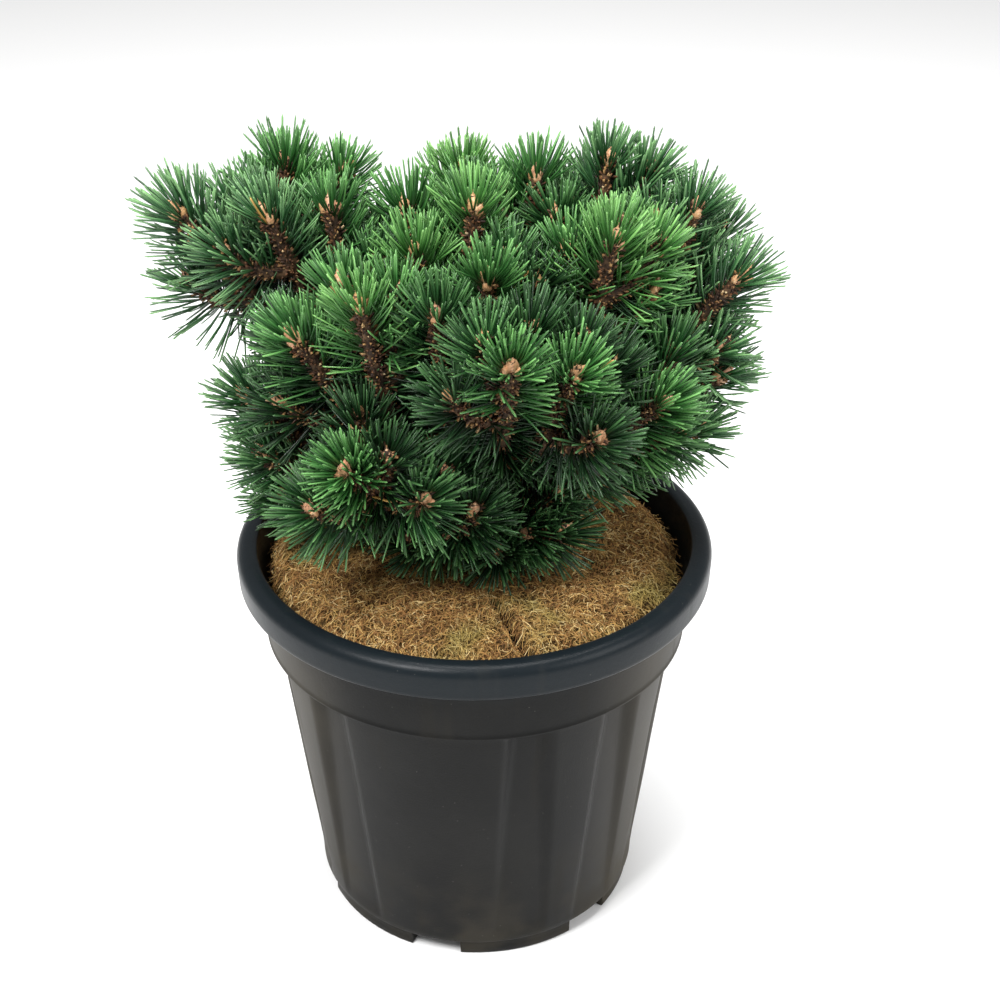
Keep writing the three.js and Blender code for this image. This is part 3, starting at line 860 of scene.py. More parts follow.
@dataclass
class Pot:
    """The round nursery pot: rolled lip, collar, fluted body and a foot ring with six drain notches.

    A profile's rows are radius and height. The collar's edge counts height from the collar's foot, the
    lip's edge from the lip's foot.
    """

    height: float = 276
    rim_radius: float = 158
    mouth_radius: float = 144.5
    rim_foot: float = 253.5
    rim_shoulder: float = 8
    collar_foot: float = 141.5
    collar_foot_height: float = 212
    collar_lean: float = 0.025
    collar_edge: Profile = ((139.4, -1.3), (141.2, -1.1), (142.1, -0.4), (142.0, 0.6), (141.6, 1.4))
    lip_edge: Profile = ((143.0, -1.5), (144.6, -0.3), (150, 0), (155.2, 0), (157.0, 0.3), (157.5, 1.2))
    throat: Profile = ((144.0, 272), (143.6, 266), (142.2, 260), (140.6, 254), (140.1, 248), (139.4, 236))
    body_top: float = 136
    body_foot: float = 113
    body_foot_height: float = 13
    foot_radius: float = 110.5
    wall: float = 2.2
    inner_floor: float = 15
    columns: int = 360
    flute_places: int = 12
    flute_first: float = 15.5
    flute_bare: Tuple[int, ...] = (5, 11)
    flute_depth: Span = (1.5, 7)
    flute_half: Span = (10.2, 7.6)
    flute_edge: Span = (2.2, 4.8)
    notch_count: int = 6
    notch_first: float = -14.5
    notch_half: float = 9.1
    notch_height: float = 12
    notch_inner: float = 42
    hole_radius: float = 7
    hole_depth: float = 2.4
    sag: float = 0.35
    sag_width: float = 70
    sag_from: float = 100

    def body_at(self, z: Points) -> Points:
        """Gives the body's radius at a height."""
        rise = (z - self.body_foot_height) / (self.collar_foot_height - self.body_foot_height)
        return self.body_foot + (self.body_top - self.body_foot) * rise

    def outside(self) -> Profile:
        """Lists the outer profile, from the middle of the floor up to the lip's inner edge."""
        return [*self.foot(), *self.body(), *self.collar(), *self.lip()]

    def foot(self) -> Profile:
        """Lists the floor's underside and the foot ring.

        Returns:
            Its rows.
        """
        wide, notch = self.foot_radius, self.notch_height
        floor = [(r, 0.0) for r in np.linspace(0, wide - 2, 40)]
        ring = [(wide - 0.6, 0.6), (wide, 2.0), (wide, 6.0), (wide, notch - 0.8)]
        return [*floor, *ring, (wide + 0.4, notch + 0.1)]

    def body(self) -> Profile:
        """Lists the tapering body, from its rounded foot to the step under the collar.

        Returns:
            Its rows.
        """
        under, low = self.collar_foot_height, self.body_foot_height
        rounded = [(self.body_foot - 0.6, low - 0.4), (self.body_foot, low + 0.6)]
        even = [(float(self.body_at(z)), float(z)) for z in np.linspace(low + 4, under - 4, 34)]
        return [*rounded, *even, (float(self.body_at(under - 2)) + 0.4, under - 2.0)]

    def collar(self) -> Profile:
        """Lists the collar, from its rounded foot edge to the lip's underside.

        Returns:
            Its rows.
        """
        under = self.collar_foot_height
        edge = [(r, under + z) for r, z in self.collar_edge]
        even = np.linspace(under + 4, self.rim_foot - 4.5, 8)
        return [*edge, *((self.collar_foot + self.collar_lean * (z - under), z) for z in even)]

    def lip(self) -> Profile:
        """Lists the rolled lip, from its lower edge over its round shoulder to the mouth.

        Returns:
            Its rows.
        """
        wide, low, top = self.rim_radius, self.rim_foot, self.height
        edge = [(r, low + z) for r, z in self.lip_edge]
        turn = np.linspace(0, math.pi / 2, 12)
        across = wide - self.rim_shoulder * (1 - np.cos(turn))
        climb = top - self.rim_shoulder * (1 - np.sin(turn))
        shoulder = [(wide - 0.4, low + 3), (wide - 0.2, low + 9), *zip(across.tolist(), climb.tolist())]
        steps = (3.0, 1.6, 0.6, 0.0)
        mouth = [(self.mouth_radius + step, top - 0.05 - (3 - step) ** 2 / 6) for step in steps]
        return [*edge, *shoulder, *mouth]

    def inside(self) -> Profile:
        """Lists the inner profile, from the lip down to the middle of the floor.

        Returns:
            Its rows.
        """
        wall, under, floor = self.wall, self.collar_foot_height, self.inner_floor
        step = [(139.2, under + 1), (134.6, under - 5)]
        even = [(float(self.body_at(z)) - wall, float(z)) for z in np.linspace(196, 18, 12)]
        return [*self.throat, *step, *even, (self.foot_radius - wall, floor), (60, floor), (0, floor)]

    def flute(self, degrees: Points, z: Points) -> Points:
        """Works out how deep the flutes press the body in.

        Args:
            degrees: Angle from the front, towards +X.
            z: Height.

        Returns:
            The depth of each place.
        """
        step = 360 / self.flute_places
        place = np.round((degrees - self.flute_first) / step)
        off = np.abs(degrees - self.flute_first - place * step)
        shown = ~np.isin(np.mod(place, self.flute_places), self.flute_bare)
        low, high = self.body_foot_height + 6, self.collar_foot_height - 3
        rise = np.clip((z - low) / (high - low), 0, 1)
        spans = (self.flute_depth, self.flute_half, self.flute_edge)
        depth, half, edge = (foot + (top - foot) * rise for foot, top in spans)
        depth = depth * smooth(z, self.body_foot_height, self.body_foot_height + 14) * (z < high)
        return depth * shown * (1 - smooth(off, half - edge, half))

    def lifted(self, degrees: Points, r: Points, z: Points) -> Points:
        """Raises the foot ring and the floor over the drain channels and their holes.

        Args:
            degrees: Angle from the front, towards +X.
            r: Distance from the axis.
            z: Height before.

        Returns:
            Height after.
        """
        step = 360 / self.notch_count
        off = degrees - self.notch_first
        off = np.abs(off - np.round(off / step) * step)
        within = (off < self.notch_half) & (r > self.notch_inner)
        z = np.where(within, np.maximum(z, self.notch_height), z)
        middle = (self.notch_inner + self.foot_radius) / 2
        across = np.hypot(r * np.sin(np.radians(off)), r * np.cos(np.radians(off)) - middle)
        return np.where(across < self.hole_radius, self.notch_height + self.hole_depth, z)

    def angles(self) -> Points:
        """Lists the columns' angles, with a close pair at each edge of a notch.

        Returns:
            Degrees from the front, towards +X.
        """
        edges = self.notch_first + np.arange(self.notch_count) * 360 / self.notch_count
        edges = np.concatenate([edges - self.notch_half, edges + self.notch_half])
        even = np.arange(self.columns) * 360 / self.columns
        even = even[[np.abs((a - edges + 180) % 360 - 180).min() > 0.45 for a in even]]
        return np.sort(np.concatenate([even, (edges - 0.1) % 360, (edges + 0.1) % 360]))

    def dress(self) -> Iterator[bpy.types.Object]:
        """Makes the shell in its plastic and ties it to the frame."""
        yield tied(self.shell(PotPlastic().material()), ["pot"])

    def shell(self, finish: bpy.types.Material) -> bpy.types.Object:
        """Makes the pot's shell.

        Args:
            finish: Its material.

        Returns:
            The piece.
        """
        outside, inside = self.outside(), self.inside()
        profile = np.array(outside + inside)
        degrees = self.angles()
        d = np.broadcast_to(degrees, (len(profile), len(degrees)))
        r = np.broadcast_to(profile[:, :1], d.shape).copy()
        z = np.broadcast_to(profile[:, 1:], d.shape).copy()
        outer = (np.arange(len(profile)) < len(outside))[:, None]
        deep = self.flute(d, z)
        inner_share = smooth(z, self.body_foot_height, self.body_foot_height + 20)
        r = r - np.where(r > self.foot_radius - self.wall - 1, deep * np.where(outer, 1, inner_share), 0)
        low = outer & (z < self.notch_height)
        z = np.where(low, self.lifted(d, r, z), z)
        a = np.radians(d)
        places = np.stack([r * np.sin(a), -r * np.cos(a), z], axis=-1)
        sag = grain(places.reshape(-1, 3), self.sag_width, 5).reshape(d.shape) * self.sag
        places[..., 0] += sag * np.sin(a) * (r > self.sag_from)
        places[..., 1] -= sag * np.cos(a) * (r > self.sag_from)
        shell = Sheaf()
        shell.add(places, grid_faces(len(profile), len(degrees), True))
        piece = shell.build("pot_shell", finish)
        weld(piece, 0.00002)
        return piece


# ---- Root ball -----------------------------------------------------------------------------------


@dataclass
class RootBall:
    """The coir-bound root ball: a lumpy bed in the pot and the loose strands on it.

    Each of its lumps is a height, a width and a seed.
    """

    top: float = 264
    settled: float = 1.2
    crown: float = 3.4
    lumps: Lumps = ((2.2, 34, 1), (1.3, 13, 2), (0.8, 5, 3))
    lump_share: float = 0.75
    edge_lumps: Lumps = ((1.8, 22, 6), (1.1, 6, 7))
    edge_fall: float = 9
    radius: float = 135
    side_depth: float = 30
    side_rings: int = 12
    side_lumps: Tuple[float, float, int] = (1.5, 7, 8)
    side_taper: float = 0.06
    shift: Span = (0, -2)
    rings: int = 74
    columns: int = 220
    strands: int = 32000
    strand_length: Span = (3.5, 11)
    strand_reach: float = 0.995
    strand_width: float = 0.58
    strand_widths: Span = (0.55, 1.25)
    strand_bands: int = 3
    strand_curl: float = 0.8
    strand_sway: float = 0.35
    strand_lift: Span = (0.0, 2.4)
    strand_arch: Span = (-1.0, 2.0)
    strand_tilt: float = 2.0
    strand_spin: float = 0.9
    strand_margin: float = 4.5
    long_strands: Span = (0.12, 1.5)
    high_strands: Span = (0.15, 1.9)
    crack_bareness: float = 1.8
    crack_from: Span = (36, -122)
    crack_to: Span = (10, -60)
    crack_depth: float = 9
    crack_width: float = 3.0
    crack_wander: Tuple[float, float, int] = (4, 22, 4)

    def height(self, x: Points, y: Points) -> Points:
        """Gives the bed's height at a place.

        Args:
            x: Across.
            y: Away from the front.

        Returns:
            The height.
        """
        flat = np.stack([x, y, np.zeros_like(x)], axis=-1)
        across = np.hypot(x - self.shift[0], y - self.shift[1]) / self.radius
        lumps = sum(height * grain(flat, size, seed) for height, size, seed in self.lumps)
        fall = self.edge_fall * smooth(across, 0.86, 1.02) ** 2
        crack = self.crack_depth * self.cracked(x, y)
        dome = self.top + self.crown * (1 - across**2)
        return dome + lumps * self.lump_share - fall - crack - self.settled

    def cracked(self, x: Points, y: Points) -> Points:
        """Gives how far into the crack a place lies.

        Args:
            x: Across.
            y: Away from the front.

        Returns:
            From 0 beside it to 1 in its middle.
        """
        sway, size, seed = self.crack_wander
        wander = sway * grain(np.stack([x, y, np.zeros_like(x)], axis=-1), size, seed)
        (x0, y0), (x1, y1) = self.crack_from, self.crack_to
        middle = x0 + (x1 - x0) * (y - y0) / (y1 - y0)
        along = smooth(y, y0 - 8, y0 + 8) * (1 - smooth(y, y1 - 16, y1))
        return along * np.exp(-(((x - middle - wander) / self.crack_width) ** 2))

    def edge(self, angle: Points) -> Points:
        """Gives the ragged outline's radius at each angle.

        Args:
            angle: Radians from +X towards +Y.

        Returns:
            The radii.
        """
        ring = 60 * np.stack([np.cos(angle), np.sin(angle), np.zeros_like(angle)], axis=-1)
        lumps = (height * grain(ring, size, seed) for height, size, seed in self.edge_lumps)
        return sum(lumps, self.radius)

    def dress(self) -> Iterator[bpy.types.Object]:
        """Makes the bed and the loose strands in their coir and ties them to the frame."""
        yield tied(self.bed(CoirBed().material()), ["root_ball"])
        yield tied(self.loose(CoirStrand().material()), ["root_ball"])

    def bed(self, finish: bpy.types.Material) -> bpy.types.Object:
        """Makes the lumpy bed.

        Args:
            finish: Its material.

        Returns:
            The piece.
        """
        angle = circle(self.columns)
        share = np.concatenate([np.linspace(0, 1, self.rings), np.ones(self.side_rings)])
        r = share[:, None] * self.edge(angle)[None, :]
        x = self.shift[0] + r * np.cos(angle)
        y = self.shift[1] + r * np.sin(angle)
        z = self.height(x, y)
        height, size, seed = self.side_lumps
        for k in range(self.side_rings):
            row = self.rings + k
            drop = self.side_depth * (k + 1) / self.side_rings
            z[row] = z[self.rings - 1] - drop
            places = np.stack([x[row], y[row], z[row]], axis=-1)
            pull = height * grain(places, size, seed) - self.side_taper * drop
            x[row] += pull * np.cos(angle)
            y[row] += pull * np.sin(angle)
        rings = np.stack([x, y, z], axis=-1)
        middle = np.array([*self.shift, float(z[-1].min())])
        bed = Sheaf()
        # The crack trait also feeds the bed's painted shade.
        bed.add_closed(rings, rings[0, 0], middle, crack=self.cracked(x, y))
        piece = bed.build("coir_bed", finish)
        weld(piece, 0.00001)
        return piece

    def loose(self, finish: bpy.types.Material) -> bpy.types.Object:
        """Makes the loose strands, flat ribbons that curl over the bed.

        Args:
            finish: Their material.

        Returns:
            The piece.
        """
        draw = np.random.default_rng(41)
        n, bands = self.strands, self.strand_bands
        angle = draw.uniform(0, 2 * math.pi, n)
        r = self.radius * np.sqrt(draw.uniform(0, 1.0, n)) * self.strand_reach
        start = np.stack([self.shift[0] + r * np.cos(angle), self.shift[1] + r * np.sin(angle)], axis=-1)
        kept = draw.random(n) > self.crack_bareness * self.cracked(start[:, 0], start[:, 1])
        start, n = start[kept], int(kept.sum())

        def some(share: float, factor: float) -> Points:
            """Gives the factor for a share of the strands and 1 for the others."""
            return np.where(draw.random(n) < share, factor, 1)

        length = draw.uniform(*self.strand_length, n) * some(*self.long_strands)
        heading = draw.uniform(0, 2 * math.pi, n)
        curl = draw.normal(0, self.strand_curl, n)
        lift = draw.uniform(*self.strand_lift, n)
        arch = draw.uniform(*self.strand_arch, n) * some(*self.high_strands)
        tilt = draw.normal(0, self.strand_tilt, n)
        width = self.strand_width * draw.uniform(*self.strand_widths, n)
        spin = draw.uniform(-self.strand_spin, self.strand_spin, n)
        spot = start.copy()
        rows = []
        for k in range(bands + 1):
            t = k / bands
            turn = heading + curl * (t - 0.5) * 2 + self.strand_sway * np.sin(7 * t + heading * 3)
            away = np.stack([np.cos(turn), np.sin(turn)], axis=-1)
            if k:
                spot = spot + away * (length / bands)[:, None]
            out = np.hypot(spot[:, 0] - self.shift[0], spot[:, 1] - self.shift[1])
            pull = np.minimum(1, (self.radius + self.strand_margin) / np.maximum(out, 1))
            spot = np.array(self.shift) + (spot - np.array(self.shift)) * pull[:, None]
            z = self.height(spot[:, 0], spot[:, 1]) + lift + arch * 4 * t * (1 - t) + tilt * (t - 0.5)
            flat = np.cos(spin)
            side = np.stack([-np.sin(turn) * flat, np.cos(turn) * flat, np.sin(spin)], axis=-1)
            middle = np.column_stack([spot, z])
            half = (width * (1 - 0.5 * abs(2 * t - 1)) / 2)[:, None]
            rows += [middle - side * half, middle + side * half]
        strip = [[2 * k, 2 * k + 1, 2 * k + 3, 2 * k + 2] for k in range(bands)]
        tone = np.repeat(draw.beta(1.3, 1.5, n), len(rows))
        sheaf = Sheaf()
        sheaf.add(np.stack(rows, axis=1), repeated(strip, n, len(rows)), tone=tone)
        return sheaf.build("coir_strands", finish)


# ---- Growth --------------------------------------------------------------------------------------


# Each tint's darker copy, dealt to side shoots further inside the crown as painted shade.
SHADED_COPY = {Tint.FRESH: Tint.GREEN, Tint.GREEN: Tint.HALF_SHADE, Tint.BLUE: Tint.HALF_SHADE, Tint.HALF_SHADE: Tint.SHADE}


@dataclass(frozen=True)
class Limb:
    """One leading shoot and the bough that carries it.

    Its bud's place, the way it leans (bearing from +X towards +Y, tilt from upright), what carries it and
    how far along, the turn of its first side shoot, and its needles' tint. A sessile one has no bough.
    """

    bud: Place
    bearing: float
    tilt: float
    carrier: str
    share: float
    turn: float
    tint: Tint
    length: float = 80
    sessile: bool = False


# The limbs low under the crown and front_middle in its front hollow take a darker copy of the green, as
# painted shade.
LIMBS: Dict[str, Limb] = {
    "upper_left": Limb((-126, -8, 510), 200, 22, "trunk", 0.6, 190, Tint.BLUE),
    "upper_left_outer": Limb((-182, 0, 508), 180, 38, "upper_left", 0.87, 200, Tint.BLUE),
    "upper_left_inner": Limb((-86, 2, 511), 160, 8, "upper_left", 0.76, 60, Tint.GREEN),
    "upper_left_rear": Limb((-118, 48, 523), 120, 10, "upper_left", 0.64, 40, Tint.GREEN),
    "left_low": Limb((-146, -30, 399), 195, 42, "trunk", 0.52, 100, Tint.BLUE),
    "left_foot": Limb((-134, -16, 318), 185, 68, "trunk", 0.1, 0, Tint.HALF_SHADE),
    "front_left": Limb((-65, -78, 482), 235, 17, "trunk", 0.38, 20, Tint.FRESH),
    "front_left_outer": Limb((-108, -66, 456), 208, 32, "front_left", 0.75, 180, Tint.GREEN),
    "front_left_low": Limb((-76, -108, 386), 248, 48, "trunk", 0.27, 100, Tint.GREEN),
    "front_middle": Limb((-20, -80, 476), 262, 20, "front_left", 0.83, 300, Tint.HALF_SHADE),
    "front_centre": Limb((24, -118, 460), 275, 36, "trunk", 0.46, 40, Tint.GREEN),
    "front_right": Limb((62, -102, 448), 292, 36, "front_centre", 0.5, 300, Tint.GREEN),
    "front_foot": Limb((-16, -64, 312), 265, 72, "trunk", 0.2, 90, Tint.HALF_SHADE, 52, True),
    "front_foot_right": Limb((36, -48, 302), 300, 74, "trunk", 0.14, 90, Tint.HALF_SHADE, 50, True),
    "right_centre": Limb((86, -30, 503), 330, 13, "trunk", 0.57, 330, Tint.FRESH),
    "right_outer": Limb((170, 0, 466), 358, 40, "trunk", 0.72, 190, Tint.BLUE),
    "upper_right": Limb((141, 24, 503), 12, 22, "right_outer", 0.88, 160, Tint.BLUE),
    "right_low": Limb((164, 4, 395), 4, 58, "right_outer", 0.4, 60, Tint.BLUE),
    "right_front_low": Limb((120, -62, 408), 318, 46, "trunk", 0.4, 60, Tint.GREEN),
    "right_foot": Limb((106, -30, 350), 345, 66, "trunk", 0.25, 300, Tint.HALF_SHADE, 68),
    "top_centre": Limb((1, -10, 516), 270, 6, "trunk", 0.94, 260, Tint.FRESH, sessile=True),
    "top_front": Limb((10, -56, 488), 272, 22, "trunk", 0.7, 20, Tint.GREEN, sessile=True),
    "top_left": Limb((-34, -34, 497), 230, 12, "trunk", 0.82, 200, Tint.FRESH, sessile=True),
    "top_rear": Limb((40, 34, 520), 60, 10, "trunk", 0.74, 120, Tint.GREEN, sessile=True),
    "top_left_outer": Limb((-42, 10, 507), 200, 14, "upper_left", 0.45, 240, Tint.GREEN),
    "top_right": Limb((86, 42, 527), 40, 14, "trunk", 0.14, 300, Tint.BLUE),
    "rear_left": Limb((-112, 98, 452), 140, 38, "trunk", 0.28, 30, Tint.GREEN),
    "rear_low": Limb((-52, 132, 378), 112, 58, "trunk", 0.42, 60, Tint.BLUE),
    "rear": Limb((-18, 118, 487), 96, 32, "trunk", 0.65, 90, Tint.FRESH),
    "rear_right": Limb((84, 112, 462), 52, 38, "trunk", 0.51, 200, Tint.GREEN),
    "rear_right_low": Limb((108, 86, 366), 36, 62, "trunk", 0.31, 150, Tint.HALF_SHADE),
}
BOUGHS = [f"bough_{name}" for name, limb in LIMBS.items() if not limb.sessile]
MASSES = [f"foliage_{name}" for name in LIMBS]


@dataclass
class Shoot:
    """One needled shoot.

    The limb it belongs to, its middle line, the share of it that is bare, its bulk, its tint, its number,
    and whether it is a finer shoot or stands on its leader's weathered side.
    """

    limb: str
    curve: Curve
    bare: float
    bulk: float
    tint: Tint
    seed: int = 0
    fine: bool = False
    weathered: bool = False

    def __post_init__(self) -> None:
        """Lists points along the shoot that other pieces keep off."""
        self.points = self.curve.points(5)


@dataclass
class Crown:
    """The trunk, the boughs and every shoot, grown by one rule."""

    ground: float = 267.3
    trunk_foot: Span = (6, 12)
    trunk_bend: Span = (-4, 16)
    trunk_tip: Place = (4, 14, 392)
    trunk_sunk: float = 8
    foot_radius: float = 25
    butt_radius: float = 15
    tip_radius: float = 7
    flare_height: float = 20
    bough_root: float = 7.5
    bough_thinner: float = 1.5
    bough_tip: float = 5
    bough_rise: float = 0.35
    bough_span: float = 0.35
    stem: float = 24
    clear: float = 0.3
    core_radius: float = 4
    core_tip: float = 2.8
    bare_part: float = 0.12
    side_bare: float = 0.08
    side_bulk: float = 0.85
    heart: Span = (0, 90)
    weather_across: float = 0.35
    weather_up: float = 0.5
    weather_side: float = 0.35
    dome_middle: Place = (-5, 0, 270)
    dome_radii: Place = (190, 165, 268)
    dome_waist: float = 0.56
    dome_waist_top: float = 440
    dome_power: float = 4
    side_length: float = 68
    side_start: float = 14
    side_spreads: Tuple[float, ...] = (48, 62, 36, 74)
    side_scatter: float = 8
    side_turn: float = 137.5
    side_tries: int = 14
    side_most: int = 4
    side_curl: float = 0.55
    side_lift: float = 0.4
    side_room: float = 38
    fine_length: float = 60
    fine_lift: float = 0.55
    fine_start: Span = (-12, 30)
    fine_tries: int = 26
    fine_most: int = 7
    fine_room: float = 24
    line_room: float = 0.7
    tip_margin: float = 30
    # Dome shares under which a side shoot's tint steps to a darker copy, as painted shade.
    shade_under: Tuple[float, ...] = (0.88, 0.78)
    rim_radius: float = 158
    soil_radius: float = 136
    rim_height: float = 276
    soil_height: float = 267

    def __post_init__(self) -> None:
        """Grows the limbs and the shoots."""
        middle = (self.ground + self.trunk_tip[2]) / 2
        foot = (*self.trunk_foot, self.ground - self.trunk_sunk)
        trunk = Curve(foot, (*self.trunk_bend, middle), self.trunk_tip)
        self.boughs: Dict[str, Curve] = {"trunk": trunk}
        for name, limb in LIMBS.items():
            if not limb.sessile:
                self.boughs[name] = self.bough_curve(name, self.joint(name))
        self.lines = {name: curve.points(12) for name, curve in self.boughs.items()}
        self.shoots = [self.leading_shoot(name) for name in LIMBS]
        self.grow(self.side_tries, self.side_most, self.side_room, fine=False)
        LOG.info("rule: %d shoots", len(self.shoots))
        self.grow(self.fine_tries, self.side_most + self.fine_most, self.fine_room, fine=True)
        LOG.info("rule carried on: %d shoots", len(self.shoots))
        for seed, shoot in enumerate(self.shoots):
            shoot.seed = seed
            if seed >= len(LIMBS):
                # Painted shade: side shoots further in get darker copies of their tint.
                shoot.tint = self.dealt(shoot)

    def dealt(self, shoot: Shoot) -> Tint:
        """Deals a side shoot its tint, with darker copies further in as painted shade.

        Args:
            shoot: The side shoot.

        Returns:
            Its limb's own tint on the crown's skin, and a darker copy of it further in, as painted shade.
        """
        out = self.dome_share(shoot.points[-1])
        tint = shoot.tint
        for limit in self.shade_under:
            if out < limit:
                tint = SHADED_COPY.get(tint, tint)
        return tint

    def core(self, shoot: Shoot, share: Points) -> Points:
        """Gives the radius of a shoot's core at shares of it."""
        return shoot.bulk * (self.core_radius + (self.core_tip - self.core_radius) * share)

    def along(self, name: str) -> Points:
        """Gives the straight line of a leading shoot."""
        return leaning(LIMBS[name].bearing, LIMBS[name].tilt)

    def foot(self, name: str) -> Points:
        """Gives the foot of a leading shoot."""
        return np.array(LIMBS[name].bud) - self.along(name) * LIMBS[name].length

    def joint(self, name: str) -> Points:
        """Gives the place where a bough ends and its shoot begins."""
        return self.foot(name) - self.along(name) * self.stem

    def bough_curve(self, name: str, end: Points) -> Curve:
        """Draws a limb that leaves its carrier outwards and a little up and ends along its shoot's line.

        Args:
            name: The limb.
            end: Where it ends.

        Returns:
            Its middle line.
        """
        limb = LIMBS[name]
        root = self.boughs[limb.carrier].point(limb.share)
        reach = end - root
        level = np.array([reach[0], reach[1], 0.0])
        out = unit(level + UP * (np.linalg.norm(level) * self.bough_rise))
        span = np.linalg.norm(reach) * self.bough_span
        return Curve(root, root + out * span, end - self.along(name) * span, end)

    def bough_radius(self, name: str) -> Callable[[Points], Points]:
        """Gives the taper of a bough, or the trunk's without its flare.

        Args:
            name: The limb.

        Returns:
            What gives the radius at a share of its length.
        """
        if name == "trunk":
            return lambda t: self.butt_radius + (self.tip_radius - self.butt_radius) * t
        root = self.bough_root - (0 if LIMBS[name].carrier == "trunk" else self.bough_thinner)
        return lambda t: root + (self.bough_tip - root) * t

    def keep_off(self, name: str) -> float:
        """Gives how near a limb's middle line a shoot's core may come, less the core's own radius."""
        return self.butt_radius + 2 if name == "trunk" else float(self.bough_radius(name)(0)) + 0.5

    def leading_shoot(self, name: str) -> Shoot:
        """Draws the leading shoot that runs on from its bough, or from the trunk itself.

        Args:
            name: The limb.

        Returns:
            The shoot.
        """
        limb = LIMBS[name]
        if limb.sessile:
            curve = self.bough_curve(name, np.array(limb.bud, dtype=float))
            return Shoot(name, curve, 1 - 0.85 * limb.length / curve.length, 1, limb.tint)
        start = self.joint(name) + self.along(name) * self.clear
        bare = (self.stem + self.bare_part * limb.length) / (self.stem + limb.length)
        return Shoot(name, Curve(start, limb.bud), bare, 1, limb.tint)

    def side_shoot(self, name: str, index: int, fine: bool) -> Shoot:
        """Draws a side shoot that leaves the leader's foot and curls towards its line and upwards.

        Args:
            name: The limb.
            index: Its turn round the leader.
            fine: Whether it is one of the finer shoots, which stand further along.

        Returns:
            The shoot.
        """
        order = list(LIMBS).index(name)
        seed = order * self.side_tries + index + (1000 if fine else 0)
        along = self.along(name)
        turn = math.radians(LIMBS[name].turn + index * self.side_turn)
        spread = self.side_spreads[index % len(self.side_spreads)]
        spread = math.radians(spread + self.side_scatter * (chance(seed) - 0.5))
        out = between(*sides_of(along), turn)
        start = self.foot(name) + along * (self.side_start * (chance(seed + 0.3) - 0.3))
        if fine:
            low, high = self.fine_start
            start = start + along * (low + (high - low) * chance(seed + 0.45))
        first = between(along, out, spread)
        last = first + (along - first) * self.side_curl
        last = unit(last + (UP - last) * (self.fine_lift if fine else self.side_lift))
        full = self.fine_length if fine else self.side_length
        length = full * (0.86 + 0.28 * chance(seed + 0.7))
        middle = start + first * length / 2
        tip = middle + last * length / 2
        bare = self.bare_part + self.side_bare
        shoot = Shoot(name, Curve(start, middle, tip), bare, self.side_bulk, LIMBS[name].tint, fine=fine)
        shoot.weathered = float(out @ self.weather(start)) > self.weather_side
        return shoot

    def weather(self, places: Points) -> Points:
        """Gives the way each place is weathered from: away from the heart and a little up."""
        level = unit((places - np.array([*self.heart, 0])) * np.array([self.weather_across, 1, 0]))
        return unit(level + UP * self.weather_up)

    def over_pot(self, points: Points, margin: Union[float, Points]) -> Points:
        """Tells which places are above the soil, or outside the pot's rim.

        Args:
            points: Places, one a row.
            margin: How much clear of them.

        Returns:
            True for each place that is.
        """
        across = np.hypot(points[..., 0], points[..., 1])
        under = np.where(across > self.soil_radius, self.rim_height, self.soil_height)
        return (across > self.rim_radius + margin) | (points[..., 2] > under + margin)

    def dome_share(self, point: Points) -> float:
        """Gives how far out a place lies in the crown's dome.

        Args:
            point: The place.

        Returns:
            Less than 1 inside, 1 on its skin.
        """
        offset = np.abs((point - np.array(self.dome_middle)) / np.array(self.dome_radii))
        rise = (point[2] - self.rim_height) / (self.dome_waist_top - self.rim_height)
        offset[:2] /= min(1, self.dome_waist + (1 - self.dome_waist) * rise)
        return float((offset**self.dome_power).sum() ** (1 / self.dome_power))

    def has_room(self, shoot: Shoot, room: float) -> bool:
        """Tells whether a side shoot's bud has room and its core touches no limb and no other mass.

        Args:
            shoot: The side shoot.
            room: Least distance between buds.

        Returns:
            True where it may stay.
        """
        tip = shoot.points[-1]
        if shoot.weathered or self.dome_share(tip) > 1 or not self.over_pot(tip, self.tip_margin):
            return False
        for name, line in self.lines.items():
            near = self.keep_off(name) + self.core_radius + 1
            if name != shoot.limb and line_distance(shoot.points, line).min() <= near:
                return False
        for other in self.shoots:
            if np.linalg.norm(tip - other.points[-1]) < room:
                return False
            if line_distance(tip, other.points) < room * self.line_room:
                return False
            near = 2 * self.core_radius + 2 * self.clear
            if other.limb != shoot.limb and line_distance(other.points, shoot.points).min() <= near:
                return False
        return True

    def grow(self, tries: int, most: int, room: float, fine: bool) -> None:
        """Adds side shoots in turns round the limbs, wherever one finds room.

        Args:
            tries: Turns round the limbs.
            most: Most side shoots of one limb.
            room: Least distance between buds.
            fine: Whether these are the finer shoots.
        """
        for index in range(tries):
            for name in LIMBS:
                shoot = self.side_shoot(name, index, fine)
                own = sum(s.limb == name for s in self.shoots)
                if own <= most and self.has_room(shoot, room):
                    self.shoots.append(shoot)


# ---- Needles -------------------------------------------------------------------------------------


